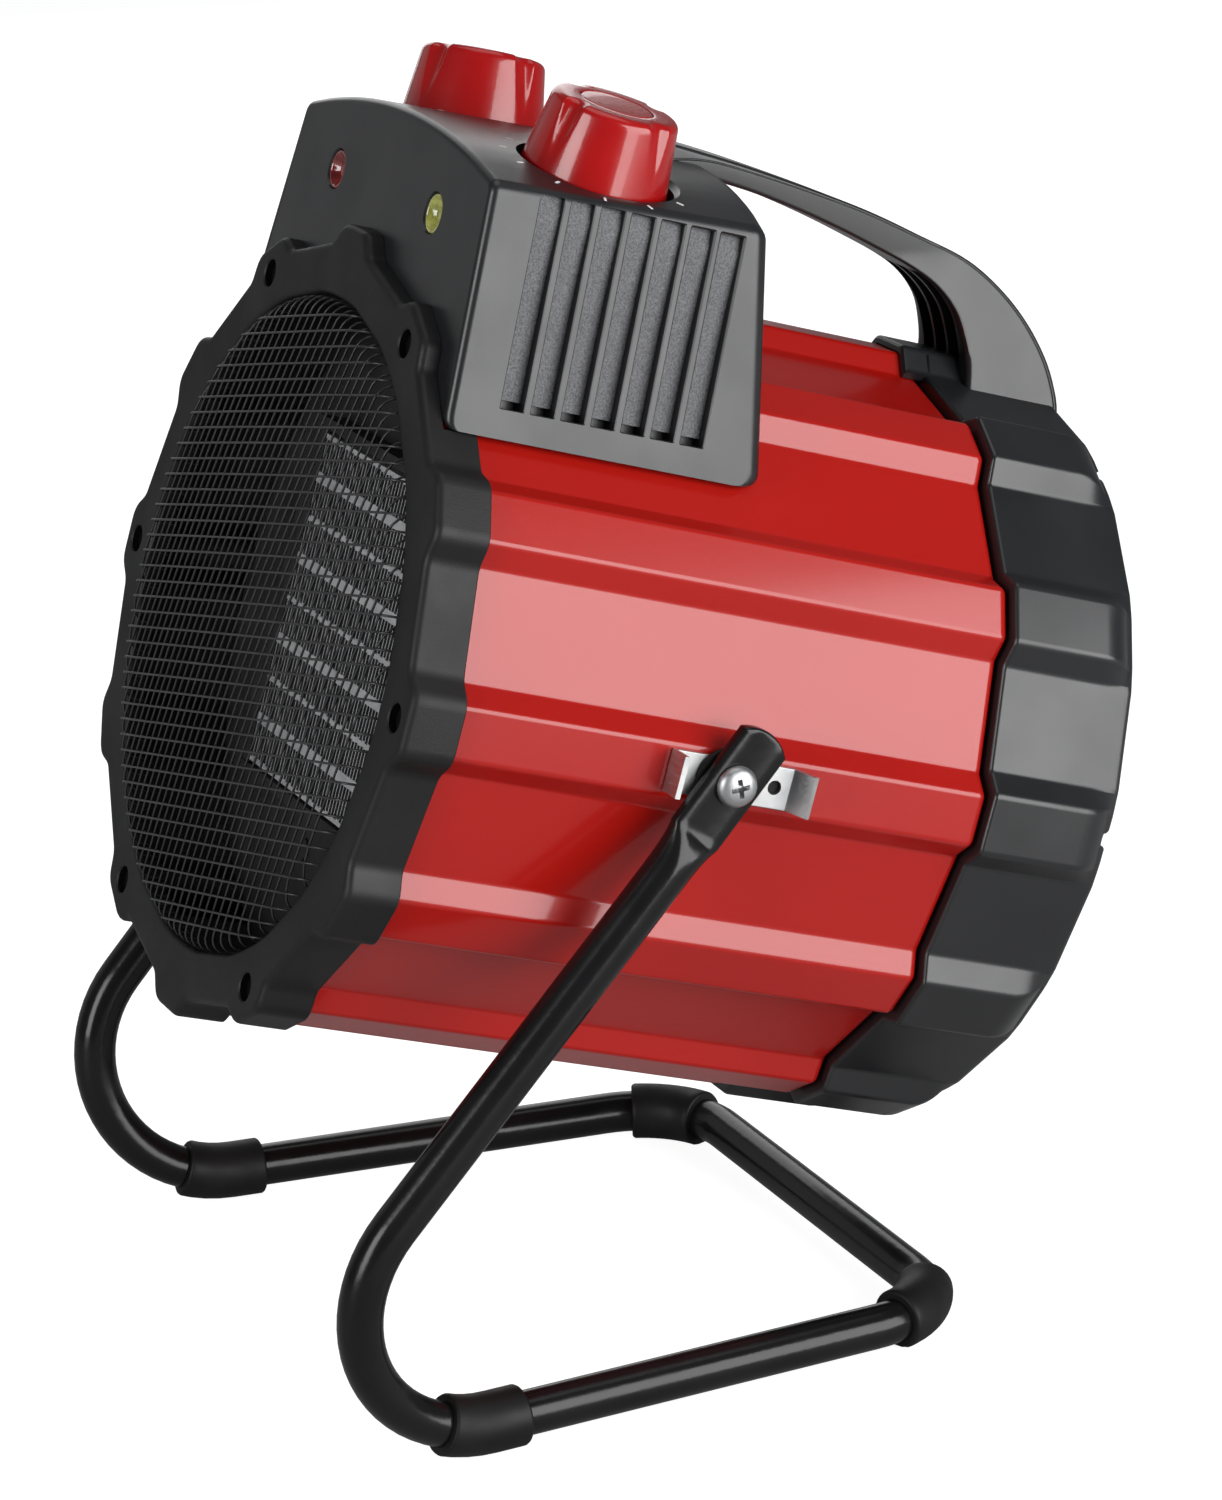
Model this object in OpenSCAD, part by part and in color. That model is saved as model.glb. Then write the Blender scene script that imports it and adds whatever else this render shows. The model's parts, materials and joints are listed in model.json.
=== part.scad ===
// Portable ceramic heater: a fluted sheet-metal barrel that tilts on a bent tube stand.
// Barrel pieces are drawn in the barrel's own frame: x to the side, y from the front face
// to the rear, z up from the barrel axis. on_pivot() then sets them on the tilt pivot.
// The world frame has the floor at z = 0 and the front of the heater towards -y.

/* [Barrel] */
// Radius of the circle that the feet of the ridges lie on
ridge_foot_r = 104.3; // [102:0.1:110]
// Height of the flat ridge tops above their feet
ridge_h = 6; // [5.5:0.1:7]
// Width of the flat top of a ridge
ridge_top_w = 14.4; // [13:0.1:17]
// Width of a ridge at its feet
ridge_base_w = 24.2; // [22:0.1:28]
// Distance from the front face to the rear edge of the shell
shell_rear = 174; // [172:0.5:190]
// Thickness of the shell's sheet
sheet_t = 1; // [0.6:0.1:1.2]

/* [Front ring] */
// How far the ring stands out over the shell
ring_over = 2.2; // [1.5:0.1:3]
// Thickness of the ring's face
ring_face_t = 5.5; // [5:0.1:7]
// Depth of the ring with its skirt
ring_depth = 15.7; // [12:0.1:20]
// Radius of the air outlet
opening_r = 92; // [88:0.5:93]
// Radius of the screw holes in the ring's face
ring_hole_r = 3.3; // [3:0.1:3.6]

/* [Grille] */
// How far the grille stands out of the ring's face
grille_out = 4.5; // [3:0.1:6]
// Distance between the grille's wires
grille_pitch = 11; // [10:0.5:15]
// Turn of the wires from level
grille_turn = 12; // [0:1:20]
// Thickness of the grille's wires
wire_t = 1.2; // [0.8:0.1:1.6]

/* [Heating element] */
// Width of the element over its end blocks
element_w = 110; // [90:1:116]
// Height of the stack of fins and bars
element_h = 98; // [84:1:104]
// Depth of the element along the air flow
element_d = 16; // [12:0.5:20]
// Distance from the front face to the element
element_y = 28; // [24:0.5:34]
// Number of fin rows
fin_rows_n = 8; // [5:1:8]
// Thickness of a heating bar
heat_bar_t = 3; // [2:0.1:4]
// Distance between two folds of a fin
fin_pitch = 5; // [4:0.5:8]
// Thickness of the fin strip
fin_t = 0.5; // [0.3:0.1:0.8]

/* [Fan] */
// Radius of the fan over its blades
fan_r = 74; // [60:0.5:75]
// Distance from the front face to the front of the fan
fan_y = 155; // [154:0.5:156]
// Number of fan blades
blade_n = 6; // [4:1:8]
// Radius of the fan shaft
shaft_r = 4; // [3:0.1:5]
// Radius of the fan motor
motor_r = 30; // [24:0.5:36]
// Length of the fan motor
motor_l = 44; // [34:0.5:50]

/* [Rear cover] */
// How far the cover stands out over the shell
cover_over = 2.5; // [2:0.1:3.5]
// Gap between the shell and the cover
cover_gap = 2; // [1:0.1:4]
// Depth of the cover
cover_d = 40; // [38:0.5:48]
// Wall of the cover
cover_wall = 2.5; // [2:0.1:3]
// Radius of the outermost air slot
intake_r = 80; // [70:0.5:82]
// Radius of the cord's passage through the gland
cord_r = 4; // [3:0.1:5]

/* [Control box] */
// Width of the box where it meets the barrel
box_low_w = 156; // [152:1:160]
// Lean of the box's side walls
box_flare = 7.2; // [5:0.1:9]
// Height of the box's top over the barrel axis, at the front
box_top = 146; // [143:0.5:150]
// Radius of the crown of the box's top
crown_r = 280; // [240:5:400]
// Rise of the box's top towards the rear
box_slope = 2.4; // [1:0.1:3]
// Distance from the front face to the rear of the box, at the middle of its top
box_rear = 93; // [92:0.5:98]
// Lean of the box's rear wall
box_lean = 13; // [10:0.5:15]
// Wall of the box
box_wall = 2.2; // [1.8:0.1:2.6]
// Radius of the box's top corners
box_corner_r = 6; // [3:0.5:8]
// Number of louvre slots in each side
slot_n = 7; // [5:1:7]
// Distance between two louvre slots
slot_pitch = 8.9; // [8:0.1:9]
// Width of a louvre slot
slot_w = 5.3; // [4:0.1:6]
// Radius of the lamp lenses
lens_r = 5.2; // [4:0.1:6]
// Distance between the two lamps
lamp_spacing = 72; // [60:1:80]

/* [Knobs] */
// Distance between the two knobs
knob_spacing = 86; // [80:1:88]
// Radius of a knob at its foot
knob_foot_r = 20.5; // [18.5:0.1:20.8]
// Radius of a knob at its top
knob_top_r = 17.3; // [16:0.1:18]
// Height of a knob
knob_h = 22; // [20:0.5:26]
// Number of finger notches round a knob
knob_notches = 4; // [3:1:6]
// Radius of a knob's shaft
dial_shaft_r = 3; // [2.5:0.1:3.5]

/* [Handle] */
// Width of the handle
handle_w = 24; // [22:0.5:30]
// Height of the handle's front end over the box's top
handle_over = 7; // [6.5:0.1:9]
// Thickness of the grip at its front end
grip_t = 8; // [7:0.5:8.5]
// Thickness of the grip where it turns down
grip_rear_t = 12; // [10:0.5:14]
// Fall of the grip from its front end to where it turns down
grip_fall = 16.5; // [14:0.5:20]
// Length of the handle's rear foot along the barrel
handle_foot_l = 48; // [44:0.5:52]

/* [Stand] */
// Diameter of the stand's tube
tube_d = 12.5; // [11.5:0.1:13]
// Height of the tilt pivot over the middle of the floor tubes
pivot_up = 172.7; // [170:0.5:200]
// Distance from the front face to the tilt pivot
pivot_back = 93.8; // [92:0.1:98]
// Front-up tilt of the barrel as it is shown
tilt_rest = 17.4; // [10:0.1:30]
// Distance that the front corner lies before the pivot
corner_ahead = 158.3; // [150:0.5:175]
// Half the width of the stand at its front corners
corner_half_w = 111; // [106:0.5:113]
// Half the width of the stand at its rear corners
rear_half_w = 91.6; // [85:0.1:100]
// Distance that the rear crossbar lies behind the pivot
rear_behind = 75.8; // [70:0.1:90]
// Bend radius at the front corners
front_bend_r = 37; // [30:0.5:40]
// Bend radius at the rear corners
rear_bend_r = 29; // [24:0.5:36]
// Width of the flattened tube end
flat_w = 14.5; // [13:0.1:15]
// Thickness of the flattened tube end
flat_t = 5; // [4:0.1:6]
// Outer diameter of the rubber feet
foot_d = 17; // [16:0.1:20]
// Depth of the flat under each foot
foot_flat = 0.6; // [0.4:0.1:1]

/* [Pivot] */
// Length of a pivot bracket along the barrel
bracket_l = 42; // [40:0.5:46]
// Distance from the pivot to the bracket's front flange
flange_ahead = 13.6; // [13:0.1:15]
// How far the bracket's flanges stand out
flange_out = 11.4; // [8:0.1:12]
// Thickness of the bracket's plate
bracket_t = 1.5; // [1.2:0.1:2]
// Radius of the pivot screw
pivot_r = 2.95; // [2.4:0.05:3.2]
// Thickness of the friction washer
washer_t = 1.6; // [1:0.1:2]

/* [Hidden] */
$fn = 64;

// Clearances, and how far a cut runs past the face it starts from
seat_gap = 0.2;
run_gap = 0.05;
slide_gap = 0.3;
past = 1;

// Barrel outline
ridge_count = 12;
screw_angles = [30, 90, 150, 210, 270, 330];
ridge_foot_d = sqrt(pow(ridge_foot_r, 2) - pow(ridge_base_w / 2, 2));
ridge_top_d = ridge_foot_d + ridge_h;
valley_d = ridge_foot_r * cos(180 / ridge_count - asin(ridge_base_w / 2 / ridge_foot_r));
inner_r = valley_d - sheet_t - seat_gap;
far = 2 * ridge_top_d;
wire_hole = [30, 20];

// Screws and the posts that run in the hollow ridges
boss_r = 4.5;
boss_gap = 1;
screw_r = 1.75;
screw_head_h = 2;
screw_head_r = screw_r + 1.5;
screw_circle_r = ridge_top_d - sheet_t - boss_gap - boss_r;
ring_seat_t = 1.5;
ring_screw_seat = ring_face_t - ring_seat_t;
ring_screw_l = 16;

// Grille
grille_r = opening_r - slide_gap;
grille_flange_r = screw_circle_r - boss_r - slide_gap;

// Heating element
plate_t = 2.5;
frame_wall = 3;
frame_tail = 8;
frame_y = element_y + element_d / 2;
frame_rear = element_y + element_d + frame_tail;
end_block_w = 5;
bar_l = element_w - 2 * end_block_w;
row_h = (element_h - (fin_rows_n + 1) * heat_bar_t) / fin_rows_n;
row_step = row_h + heat_bar_t;
fin_folds = floor((bar_l - fin_pitch) / fin_pitch / 2) * 2;
blade_tab = [0.8, 6.3];
blade_tab_l = 9;
cutout_r = 9;
cutout_h = 6;
cutout_ear_t = 1;
cutout_ear_w = 8;
cutout_rivet_x = cutout_r + 4;
cutout_z = -(element_h / 2 + frame_wall + cutout_r + 3);

// Fan
fan_h = 18;
hub_r = 14;
shroud_lead = 7;
shroud_y = fan_y - shroud_lead;
shroud_r = fan_r + 4;
shroud_l = 26;
shroud_wall = 2.5;
mount_t = 2;
mount_arm_w = 12;
mount_post_h = 6;
mount_post_r = 4.5;
mount_post_circle = (shroud_r + shroud_wall + inner_r) / 2;
mount_y = shroud_y - mount_post_h - mount_t;
motor_y = mount_y - motor_l;
motor_bell_h = 5;
motor_bell_r = motor_r - 3;
motor_neck_r = shaft_r + 2.5;
motor_neck_l = 3;
motor_bolt_circle = motor_r - 7;
motor_bolt_l = 8;
shaft_front = motor_y - motor_neck_l - 1;
shaft_rear = fan_y + fan_h + 2;

// Rear cover
cover_front = shell_rear + cover_gap;
cover_rear = cover_front + cover_d;
cover_fade = 13;
cover_edge = 2;
cover_rim_d = valley_d + cover_over;
rear_wall_t = 3;
spigot_l = 11;
spigot_wall = 2.8;
cover_screw_sink = 6;
cover_screw_seat = cover_rear - cover_screw_sink;
cover_screw_l = cover_screw_seat - cover_front + spigot_l + 9;
cover_hole_r = boss_r - 0.8;
slot_ring_w = 6;
slot_ring_step = 10;
slot_spoke_w = 5;
intake_hub_r = 20;
intake_rings = floor((intake_r - intake_hub_r) / slot_ring_step);
gland_circle = (intake_r + cover_rim_d) / 2 - 1;
gland_r = cord_r + 3;
gland_rim_r = gland_r + 2.2;
gland_rim_h = 3;
gland_l = 12;
tab_l = 8;
tab_w = 34;

// Control box
box_front = ring_face_t + 1;
box_low = valley_d / sin(45) - box_low_w / 2;
rear_bow_r = 300;
slot_first = 20.8;
slot_low = 10;
slot_high = 67;
vane_t = 1.2;
vane_in = 4;
vane_sink = 0.6;
lamp_drop = 23;
lamp_z = box_top - lamp_drop;
holder_l = 16;
holder_r = lens_r + 1.5;
lens_sink = 0.6;
lens_dome = 0.8;

// Knobs
knob_y = 45.3;
knob_sink = 5.8;
knob_pad = box_top - knob_sink;
recess_r = knob_foot_r + 1.6;
pad_low = knob_pad - box_wall;
knob_low = knob_pad + 2 * slide_gap;
knob_top = knob_low + knob_h;
knob_edge = 2;
knob_lean = asin(knob_spacing / 2 / crown_r);
notch_r = 6;
notch_up = 7;
notch_lean = 15.5;
notch_out = knob_foot_r - (knob_foot_r - knob_top_r) * notch_up / knob_h + notch_r / cos(notch_lean);
thermostat_turned = -26;
dial_body_w = 32;
dial_body_h = 20;
dial_shaft_low = pad_low - dial_body_h / 2;
dial_shaft_top = knob_top - 6;
bush_r = 5;
nut_h = 2.5;
nut_r = 8;
bush_top = knob_pad + nut_h + 1;
cap_r = 10;
cap_h = 1.2;

// Handle
handle_top = box_top + handle_over;
handle_front = box_rear - 16;
handle_foot_z = box_top - 10;
grip_bow = 4.4;
knuckle_bow = 4.5;
under_bow = 2.4;
root_bow = 3.7;
root_l = 16;
knuckle_ahead = 25;
knuckle = [cover_rear - knuckle_ahead, handle_top - grip_fall];
handle_rear = cover_rear + 1;
handle_low = ridge_top_d - 3;
handle_heel = handle_rear - handle_foot_l;
handle_turn = [handle_heel - root_l, knuckle[1] - grip_rear_t + 10];
handle_wall = 3;
rib_t = 1.5;
cell_n = 3;
cell_w = (handle_w - 2 * handle_wall - (cell_n - 1) * rib_t) / cell_n;
handle_screw_r = 2;
handle_head_r = 2 * handle_screw_r;
handle_screw_y = cover_rear - cover_fade - handle_head_r - past;
handle_screw_z = ridge_top_d + cover_over - cover_wall;
handle_screw_l = 20;
handle_front_screw_y = handle_front + 2 * handle_head_r;
handle_front_screw_z = box_top + (handle_front_screw_y - box_front) * tan(box_slope) - box_wall - seat_gap;
handle_front_screw_top = handle_top - handle_wall / 2;

// Stand and pivot
tube_sides = 24;
front_bend_steps = 18;
rear_bend_steps = 12;
foot_steps = 6;
neck_steps = 6;
foot_bore = (tube_d + 4 * run_gap) / cos(180 / tube_sides);
foot_lead = 2;
foot_l = 15;
foot_arc = 22;
floor_up = foot_d / 2 - foot_flat;
bracket_x = ridge_top_d + bracket_t;
leg_inner_x = bracket_x + washer_t;
leg_x = leg_inner_x + flat_t / 2;
screw_x = leg_inner_x + flat_t;
washer_r = 9;
spare_hole_r = 2;
spare_hole_y = pivot_back + 16;
head_r = 5.7;
head_h = 3.4;
nut_t = 5;
pivot_nut_r = 5.77;
pivot_nut_x = ridge_top_d - sheet_t - nut_t;
leg_lean = atan2(corner_ahead, pivot_up);
flat_below = 17;
flat_above = 15;
flat_end_r = flat_w / 2 + 1;
neck_l = 14;
neck_sink = 3;
neck_ledge = 0.4;

// The middle of the footprint lies half way between the front ring's lowest edge and the handle's rear
ring_reach = pivot_back * cos(tilt_rest) + (ridge_top_d + ring_over) * sin(tilt_rest);
rear_reach = (handle_rear - pivot_back) * cos(tilt_rest) + handle_low * sin(tilt_rest);
pivot_y = (ring_reach - rear_reach) / 2;
pivot_z = floor_up + pivot_up;

// Plane geometry
function unit(v) = v / norm(v);
function left_of(v) = unit([-v[1], v[0]]);
function turned(p, a) = [p[0] * cos(a) + p[1] * sin(a), -p[0] * sin(a) + p[1] * cos(a)];

// Moves every edge of a clockwise outline outwards by d
function grow(pts, d) = let (n = len(pts)) [
    for (i = [0 : n - 1])
        let (
            m = left_of(pts[i] - pts[(i + n - 1) % n]),
            k = left_of(pts[(i + 1) % n] - pts[i])
        ) pts[i] + d * (m + k) / (1 + m * k)
];

// The fluted outline, clockwise from the ridge at the top, grown by d
function flutes(d) = grow([
    for (i = [0 : ridge_count - 1])
        for (p = [
            [-ridge_base_w / 2, ridge_foot_d], [-ridge_top_w / 2, ridge_top_d],
            [ridge_top_w / 2, ridge_top_d], [ridge_base_w / 2, ridge_foot_d]
        ]) turned(p, i * 360 / ridge_count)
], d);

// Points of an arc from a to b that bulges to the left by s
function bulge(a, b, s, n = 12) = let (
    half = norm(b - a) / 2,
    r = (half * half + s * s) / (2 * s),
    side = left_of(b - a),
    mid = (a + b) / 2 + side * (s - r),
    sweep = asin(half / r)
) [for (i = [0 : n]) mid + r * turned(side, sweep * (2 * i / n - 1))];

// Points of a fillet of radius r at corner p of a clockwise outline
function fillet(a, p, b, r, n = 8) = let (
    u = unit(a - p),
    v = unit(b - p),
    half = acos(u * v) / 2,
    mid = p + unit(u + v) * r / sin(half),
    start = p + u * r / tan(half) - mid
) [for (i = [0 : n]) mid + turned(start, (180 - 2 * half) * i / n)];

function box_half_w(z) = box_low_w / 2 - (z - box_low) * tan(box_flare);

// The box's front outline: leaning sides, round corners and a crowned top
function box_outline() = let (
    crown_fall = function (x) crown_r - sqrt(crown_r * crown_r - x * x),
    side_z = box_top - crown_fall(box_half_w(box_top)),
    half = box_half_w(side_z),
    foot = [box_low_w / 2 + box_low * tan(box_flare), 0],
    crown = bulge([-half, side_z], [half, side_z], crown_fall(half), 24),
    last = len(crown) - 1
) concat(
    [[-foot[0], 0]],
    fillet([-foot[0], 0], crown[0], crown[1], box_corner_r),
    [for (i = [1 : last - 1]) crown[i]],
    fillet(crown[last - 1], crown[last], foot, box_corner_r),
    [foot]
);

// The handle's side outline in y and z, clockwise from its front foot
function handle_outline() = let (
    bevel = 2,
    tail_in = 8,
    under = [box_rear - past, handle_top - grip_t]
) concat(
    [[handle_front, handle_foot_z], [handle_front, handle_top - bevel]],
    bulge([handle_front + bevel, handle_top], knuckle, grip_bow),
    bulge(knuckle, [handle_rear, handle_low], knuckle_bow),
    [[handle_rear - tail_in, handle_low - 3 * handle_wall]],
    reversed(bulge(handle_turn, [handle_heel, handle_low - past], root_bow)),
    reversed(bulge(under, handle_turn, under_bow)),
    [[box_rear - past, handle_foot_z]]
);

// The side outline of the rear leg's hollow, open towards the fingers
function handle_hollow() = let (
    low = handle_low - 3 * handle_wall,
    rear = handle_screw_y - 3 * handle_screw_r
) concat(
    [[handle_turn[0], knuckle[1] - 2 * handle_wall]],
    bulge([handle_heel - 2 * handle_wall, knuckle[1]], [rear, ridge_top_d + 2 * handle_screw_r], root_bow),
    [[rear, low], [handle_turn[0], low]]
);
function reversed(list) = [for (i = [len(list) - 1 : -1 : 0]) list[i]];

// Placing and drawing
module on_pivot() {
    translate([0, pivot_y, pivot_z])
        rotate([-tilt_rest, 0, 0])
            translate([0, -pivot_back, 0])
                children();
}

module on_stand() {
    translate([0, pivot_y, floor_up]) children();
}

// A flat x and z shape drawn from y0 to y1
module slab(y0, y1) {
    translate([0, y1, 0]) rotate([90, 0, 0]) linear_extrude(y1 - y0) children();
}

// A flat y and z shape drawn from x0 to x1
module across(x0, x1) {
    rotate([90, 0, 90]) translate([0, 0, x0]) linear_extrude(x1 - x0) children();
}

module rod_y(r, y0, y1, x = 0, z = 0) {
    translate([x, y1, z]) rotate([90, 0, 0]) cylinder(r = r, h = y1 - y0);
}

module rod_x(r, x0, x1, y = 0, z = 0) {
    translate([x0, y, z]) rotate([0, 90, 0]) cylinder(r = r, h = x1 - x0);
}

module rod_z(r, z0, z1, x = 0, y = 0) {
    translate([x, y, z0]) cylinder(r = r, h = z1 - z0);
}

module about_y() {
    rotate([-90, 0, 0]) children();
}

module flat_ring(r_out, r_in) {
    difference() {
        circle(r = r_out, $fn = 96);
        circle(r = r_in, $fn = 96);
    }
}

module at_screws() {
    for (a = screw_angles) rotate([0, a, 0]) translate([0, 0, screw_circle_r]) children();
}

module on_side(side) {
    mirror([side < 0 ? 1 : 0, 0, 0]) children();
}

// Stand: the path runs along the middle of the tube, from one flattened end to the other
function leg_point(along, side) = [side * leg_x, -along * sin(leg_lean), pivot_up - along * cos(leg_lean)];
function front_corner(side) = [side * corner_half_w, -corner_ahead, 0];
function rear_corner(side) = [side * rear_half_w, rear_behind, 0];
function kink(side) = leg_point(flat_below + neck_l, side);
function rail_way(side) = unit(rear_corner(side) - front_corner(side));
function bend_turn(a, p, b) = 180 - acos(unit(a - p) * unit(b - p));

// Points of a bend of radius r at corner p, from angle start to angle stop
function bend_points(a, p, b, r, start, stop, n) = let (
    u = unit(a - p),
    v = unit(b - p),
    half = acos(u * v) / 2,
    mid = p + unit(u + v) * r / sin(half),
    out = unit(p + u * r / tan(half) - mid)
) [for (i = [0 : n]) let (t = start + (stop - start) * i / n) mid + r * (out * cos(t) - u * sin(t))];

function front_bend(side, start, stop, n) =
    bend_points(kink(side), front_corner(side), rear_corner(side), front_bend_r, start, stop, n);
function front_turn(side) = bend_turn(kink(side), front_corner(side), rear_corner(side));
function rear_bend(side, start, stop, n) =
    bend_points(front_corner(side), rear_corner(side), rear_corner(-side), rear_bend_r, start, stop, n);
function rear_turn(side) = bend_turn(front_corner(side), rear_corner(side), rear_corner(-side));

// Directions of a path at each of its points, and normals that turn no more than the path does
function path_ways(pts) = let (last = len(pts) - 1) [
    for (i = [0 : last]) unit(pts[min(i + 1, last)] - pts[max(i - 1, 0)])
];
function square_to(v, way) = unit(v - (v * way) * way);
function path_normals(ways) = [
    for (i = 0, n = square_to([1, 0.01, 0], ways[0]); i < len(ways);
         i = i + 1, n = i < len(ways) ? square_to(n, ways[i]) : n) n
];

// A tube section: round where flatness is 0, a flat bar where it is 1
function tube_section(d, flatness) = [
    for (j = [0 : tube_sides - 1])
        let (
            c = cos(j * 360 / tube_sides),
            s = sin(j * 360 / tube_sides),
            k = max(abs(c), abs(s)),
            bar = [c / k * (flat_t / 2 - neck_ledge), s / k * (flat_w / 2 - neck_ledge)]
        ) (1 - flatness) * d / 2 * [c, s] + flatness * bar
];

// A closed tube of diameter d along a path; flats gives the flatness at each point
module swept_tube(pts, d, flats) {
    ways = path_ways(pts);
    normals = path_normals(ways);
    rings = len(pts);
    points = [
        for (i = [0 : rings - 1])
            for (q = tube_section(d, flats[i]))
                pts[i] + q[0] * normals[i] + q[1] * cross(ways[i], normals[i])
    ];
    sides = [
        for (i = [0 : rings - 2])
            for (j = [0 : tube_sides - 1])
                let (k = (j + 1) % tube_sides, a = i * tube_sides, b = a + tube_sides)
                    for (face = [[a + j, b + j, a + k], [a + k, b + j, b + k]]) face
    ];
    end = (rings - 1) * tube_sides;
    caps = [
        for (j = [1 : tube_sides - 2])
            for (face = [[0, j, j + 1], [end, end + j + 1, end + j]]) face
    ];
    polyhedron(points = points, faces = concat(sides, caps));
}

// The tube is pressed flat over the neck, which reaches a little into the flat end
function neck_flatness(t) = 1 - t * t * (3 - 2 * t);
function half_path(side) = concat(
    [leg_point(flat_below - neck_sink, side)],
    [for (i = [0 : neck_steps]) leg_point(flat_below + neck_l * i / neck_steps, side)],
    front_bend(side, 0, front_turn(side), front_bend_steps),
    rear_bend(side, 0, rear_turn(side), rear_bend_steps)
);
function half_flats() = concat(
    [1],
    [for (i = [0 : neck_steps]) neck_flatness(i / neck_steps)],
    [for (i = [0 : front_bend_steps + 1 + rear_bend_steps]) 0]
);

module flat_end(side) {
    translate([side * leg_x, 0, pivot_up]) rotate([-leg_lean, 0, 0]) difference() {
        intersection() {
            translate([-flat_t / 2, -flat_w / 2, -flat_below])
                cube([flat_t, flat_w, flat_below + flat_above]);
            union() {
                rod_x(flat_end_r, -flat_t, flat_t, 0, flat_above - flat_end_r);
                translate([-flat_t, -flat_w, -2 * flat_below])
                    cube([2 * flat_t, 2 * flat_w, 2 * flat_below + flat_above - flat_end_r]);
            }
        }
        rod_x(pivot_r + run_gap, -flat_t, flat_t);
    }
}

module stand_tube() {
    color([0.05, 0.05, 0.055]) on_stand() {
        swept_tube(concat(half_path(1), reversed(half_path(-1))), tube_d,
                   concat(half_flats(), reversed(half_flats())));
        for (side = [-1, 1]) flat_end(side);
    }
}

// A rubber sleeve that follows the tube and is cut flat on the floor
module sleeve(outer, inner) {
    color([0.03, 0.03, 0.03]) difference() {
        on_stand() difference() {
            swept_tube(outer, foot_d, [for (p = outer) 0]);
            swept_tube(inner, foot_bore, [for (p = inner) 0]);
        }
        translate([-far, -far, -far]) cube([2 * far, 2 * far, far]);
    }
}

function front_sleeve_path(side, spare) = let (
    turn = front_turn(side),
    spare_arc = spare / front_bend_r * 180 / PI,
    bend = front_bend(side, turn - foot_arc - spare_arc, turn, foot_steps)
) concat(bend, [bend[foot_steps] + rail_way(side) * (foot_l + spare)]);

function rear_sleeve_path(side, spare) = let (
    bend = rear_bend(side, 0, rear_turn(side), rear_bend_steps),
    lead = foot_lead + spare
) concat([bend[0] - rail_way(side) * lead], bend, [bend[rear_bend_steps] - [side * lead, 0, 0]]);

module front_foot(side) sleeve(front_sleeve_path(side, 0), front_sleeve_path(side, past));
module rear_foot(side) sleeve(rear_sleeve_path(side, 0), rear_sleeve_path(side, past));
module front_left_foot() front_foot(-1);
module front_right_foot() front_foot(1);
module rear_left_foot() rear_foot(-1);
module rear_right_foot() rear_foot(1);

// Barrel
module barrel_shell() {
    color([0.72, 0.07, 0.08]) on_pivot() difference() {
        slab(ring_face_t, shell_rear) difference() {
            polygon(flutes(0));
            polygon(flutes(-sheet_t));
        }
        rod_x(pivot_r + seat_gap, -far, far, pivot_back);
        // Passage for the wires into the control box
        translate([-wire_hole[0] / 2, knob_y - wire_hole[1] / 2, 0])
            cube([wire_hole[0], wire_hole[1], far]);
    }
}

module front_ring() {
    color([0.06, 0.06, 0.065]) on_pivot() difference() {
        union() {
            slab(0, ring_face_t) difference() {
                polygon(flutes(ring_over));
                circle(r = opening_r, $fn = 96);
            }
            difference() {
                slab(ring_face_t, ring_depth) difference() {
                    polygon(flutes(ring_over));
                    polygon(flutes(seat_gap));
                }
                translate([-box_low_w / 2 - seat_gap, ring_face_t, box_low - 2 * seat_gap])
                    cube([box_low_w + 2 * seat_gap, ring_depth, far]);
            }
        }
        at_screws() {
            rod_y(ring_hole_r, -past, ring_screw_seat);
            rod_y(screw_r + seat_gap, -past, ring_depth);
        }
    }
}

module ring_screws() {
    color("silver") on_pivot() at_screws() {
        rod_y(ring_hole_r - seat_gap, ring_screw_seat - screw_head_h, ring_screw_seat);
        rod_y(screw_r, ring_screw_seat, ring_screw_seat + ring_screw_l);
    }
}

module front_grille() {
    color([0.04, 0.04, 0.04]) on_pivot() {
        slab(-grille_out, -grille_out + wire_t) {
            flat_ring(grille_r, grille_r - 2 * wire_t);
            intersection() {
                circle(r = grille_r - wire_t, $fn = 96);
                wires = floor(grille_r / grille_pitch);
                rotate(grille_turn) for (i = [-wires : wires]) {
                    translate([i * grille_pitch - wire_t / 2, -grille_r]) square([wire_t, 2 * grille_r]);
                    translate([-grille_r, i * grille_pitch - wire_t / 2]) square([2 * grille_r, wire_t]);
                }
            }
        }
        slab(-grille_out, ring_face_t + wire_t) flat_ring(grille_r, grille_r - wire_t);
        slab(ring_face_t, ring_face_t + wire_t) flat_ring(grille_flange_r, grille_r - wire_t);
    }
}

// Heating element
module element_frame() {
    hole_w = element_w + 2 * slide_gap;
    hole_h = element_h + 2 * slide_gap;
    color([0.05, 0.05, 0.05]) on_pivot() difference() {
        union() {
            slab(frame_y, frame_y + plate_t) circle(r = inner_r, $fn = 96);
            slab(element_y, frame_rear)
                square([hole_w + 2 * frame_wall, hole_h + 2 * frame_wall], center = true);
            at_screws() rod_y(boss_r, ring_face_t, frame_y + plate_t);
        }
        slab(element_y - past, frame_rear + past) square([hole_w, hole_h], center = true);
        at_screws() rod_y(screw_r + run_gap, 0, frame_y);
        at_cutout_rivets() rod_y(screw_r + run_gap, 0, frame_rear);
    }
}

// One strip folded to and fro between two bars
module fin_strip() {
    half = row_h / 2 - run_gap;
    steps = [for (i = [0 : fin_folds]) [(i - fin_folds / 2) * fin_pitch, (i % 2 == 0 ? -1 : 1) * half]];
    for (i = [0 : fin_folds - 1]) {
        a = steps[i];
        b = steps[i + 1];
        polygon([a - [fin_t, 0], a + [fin_t, 0], b + [fin_t, 0], b - [fin_t, 0]]);
    }
}

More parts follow.
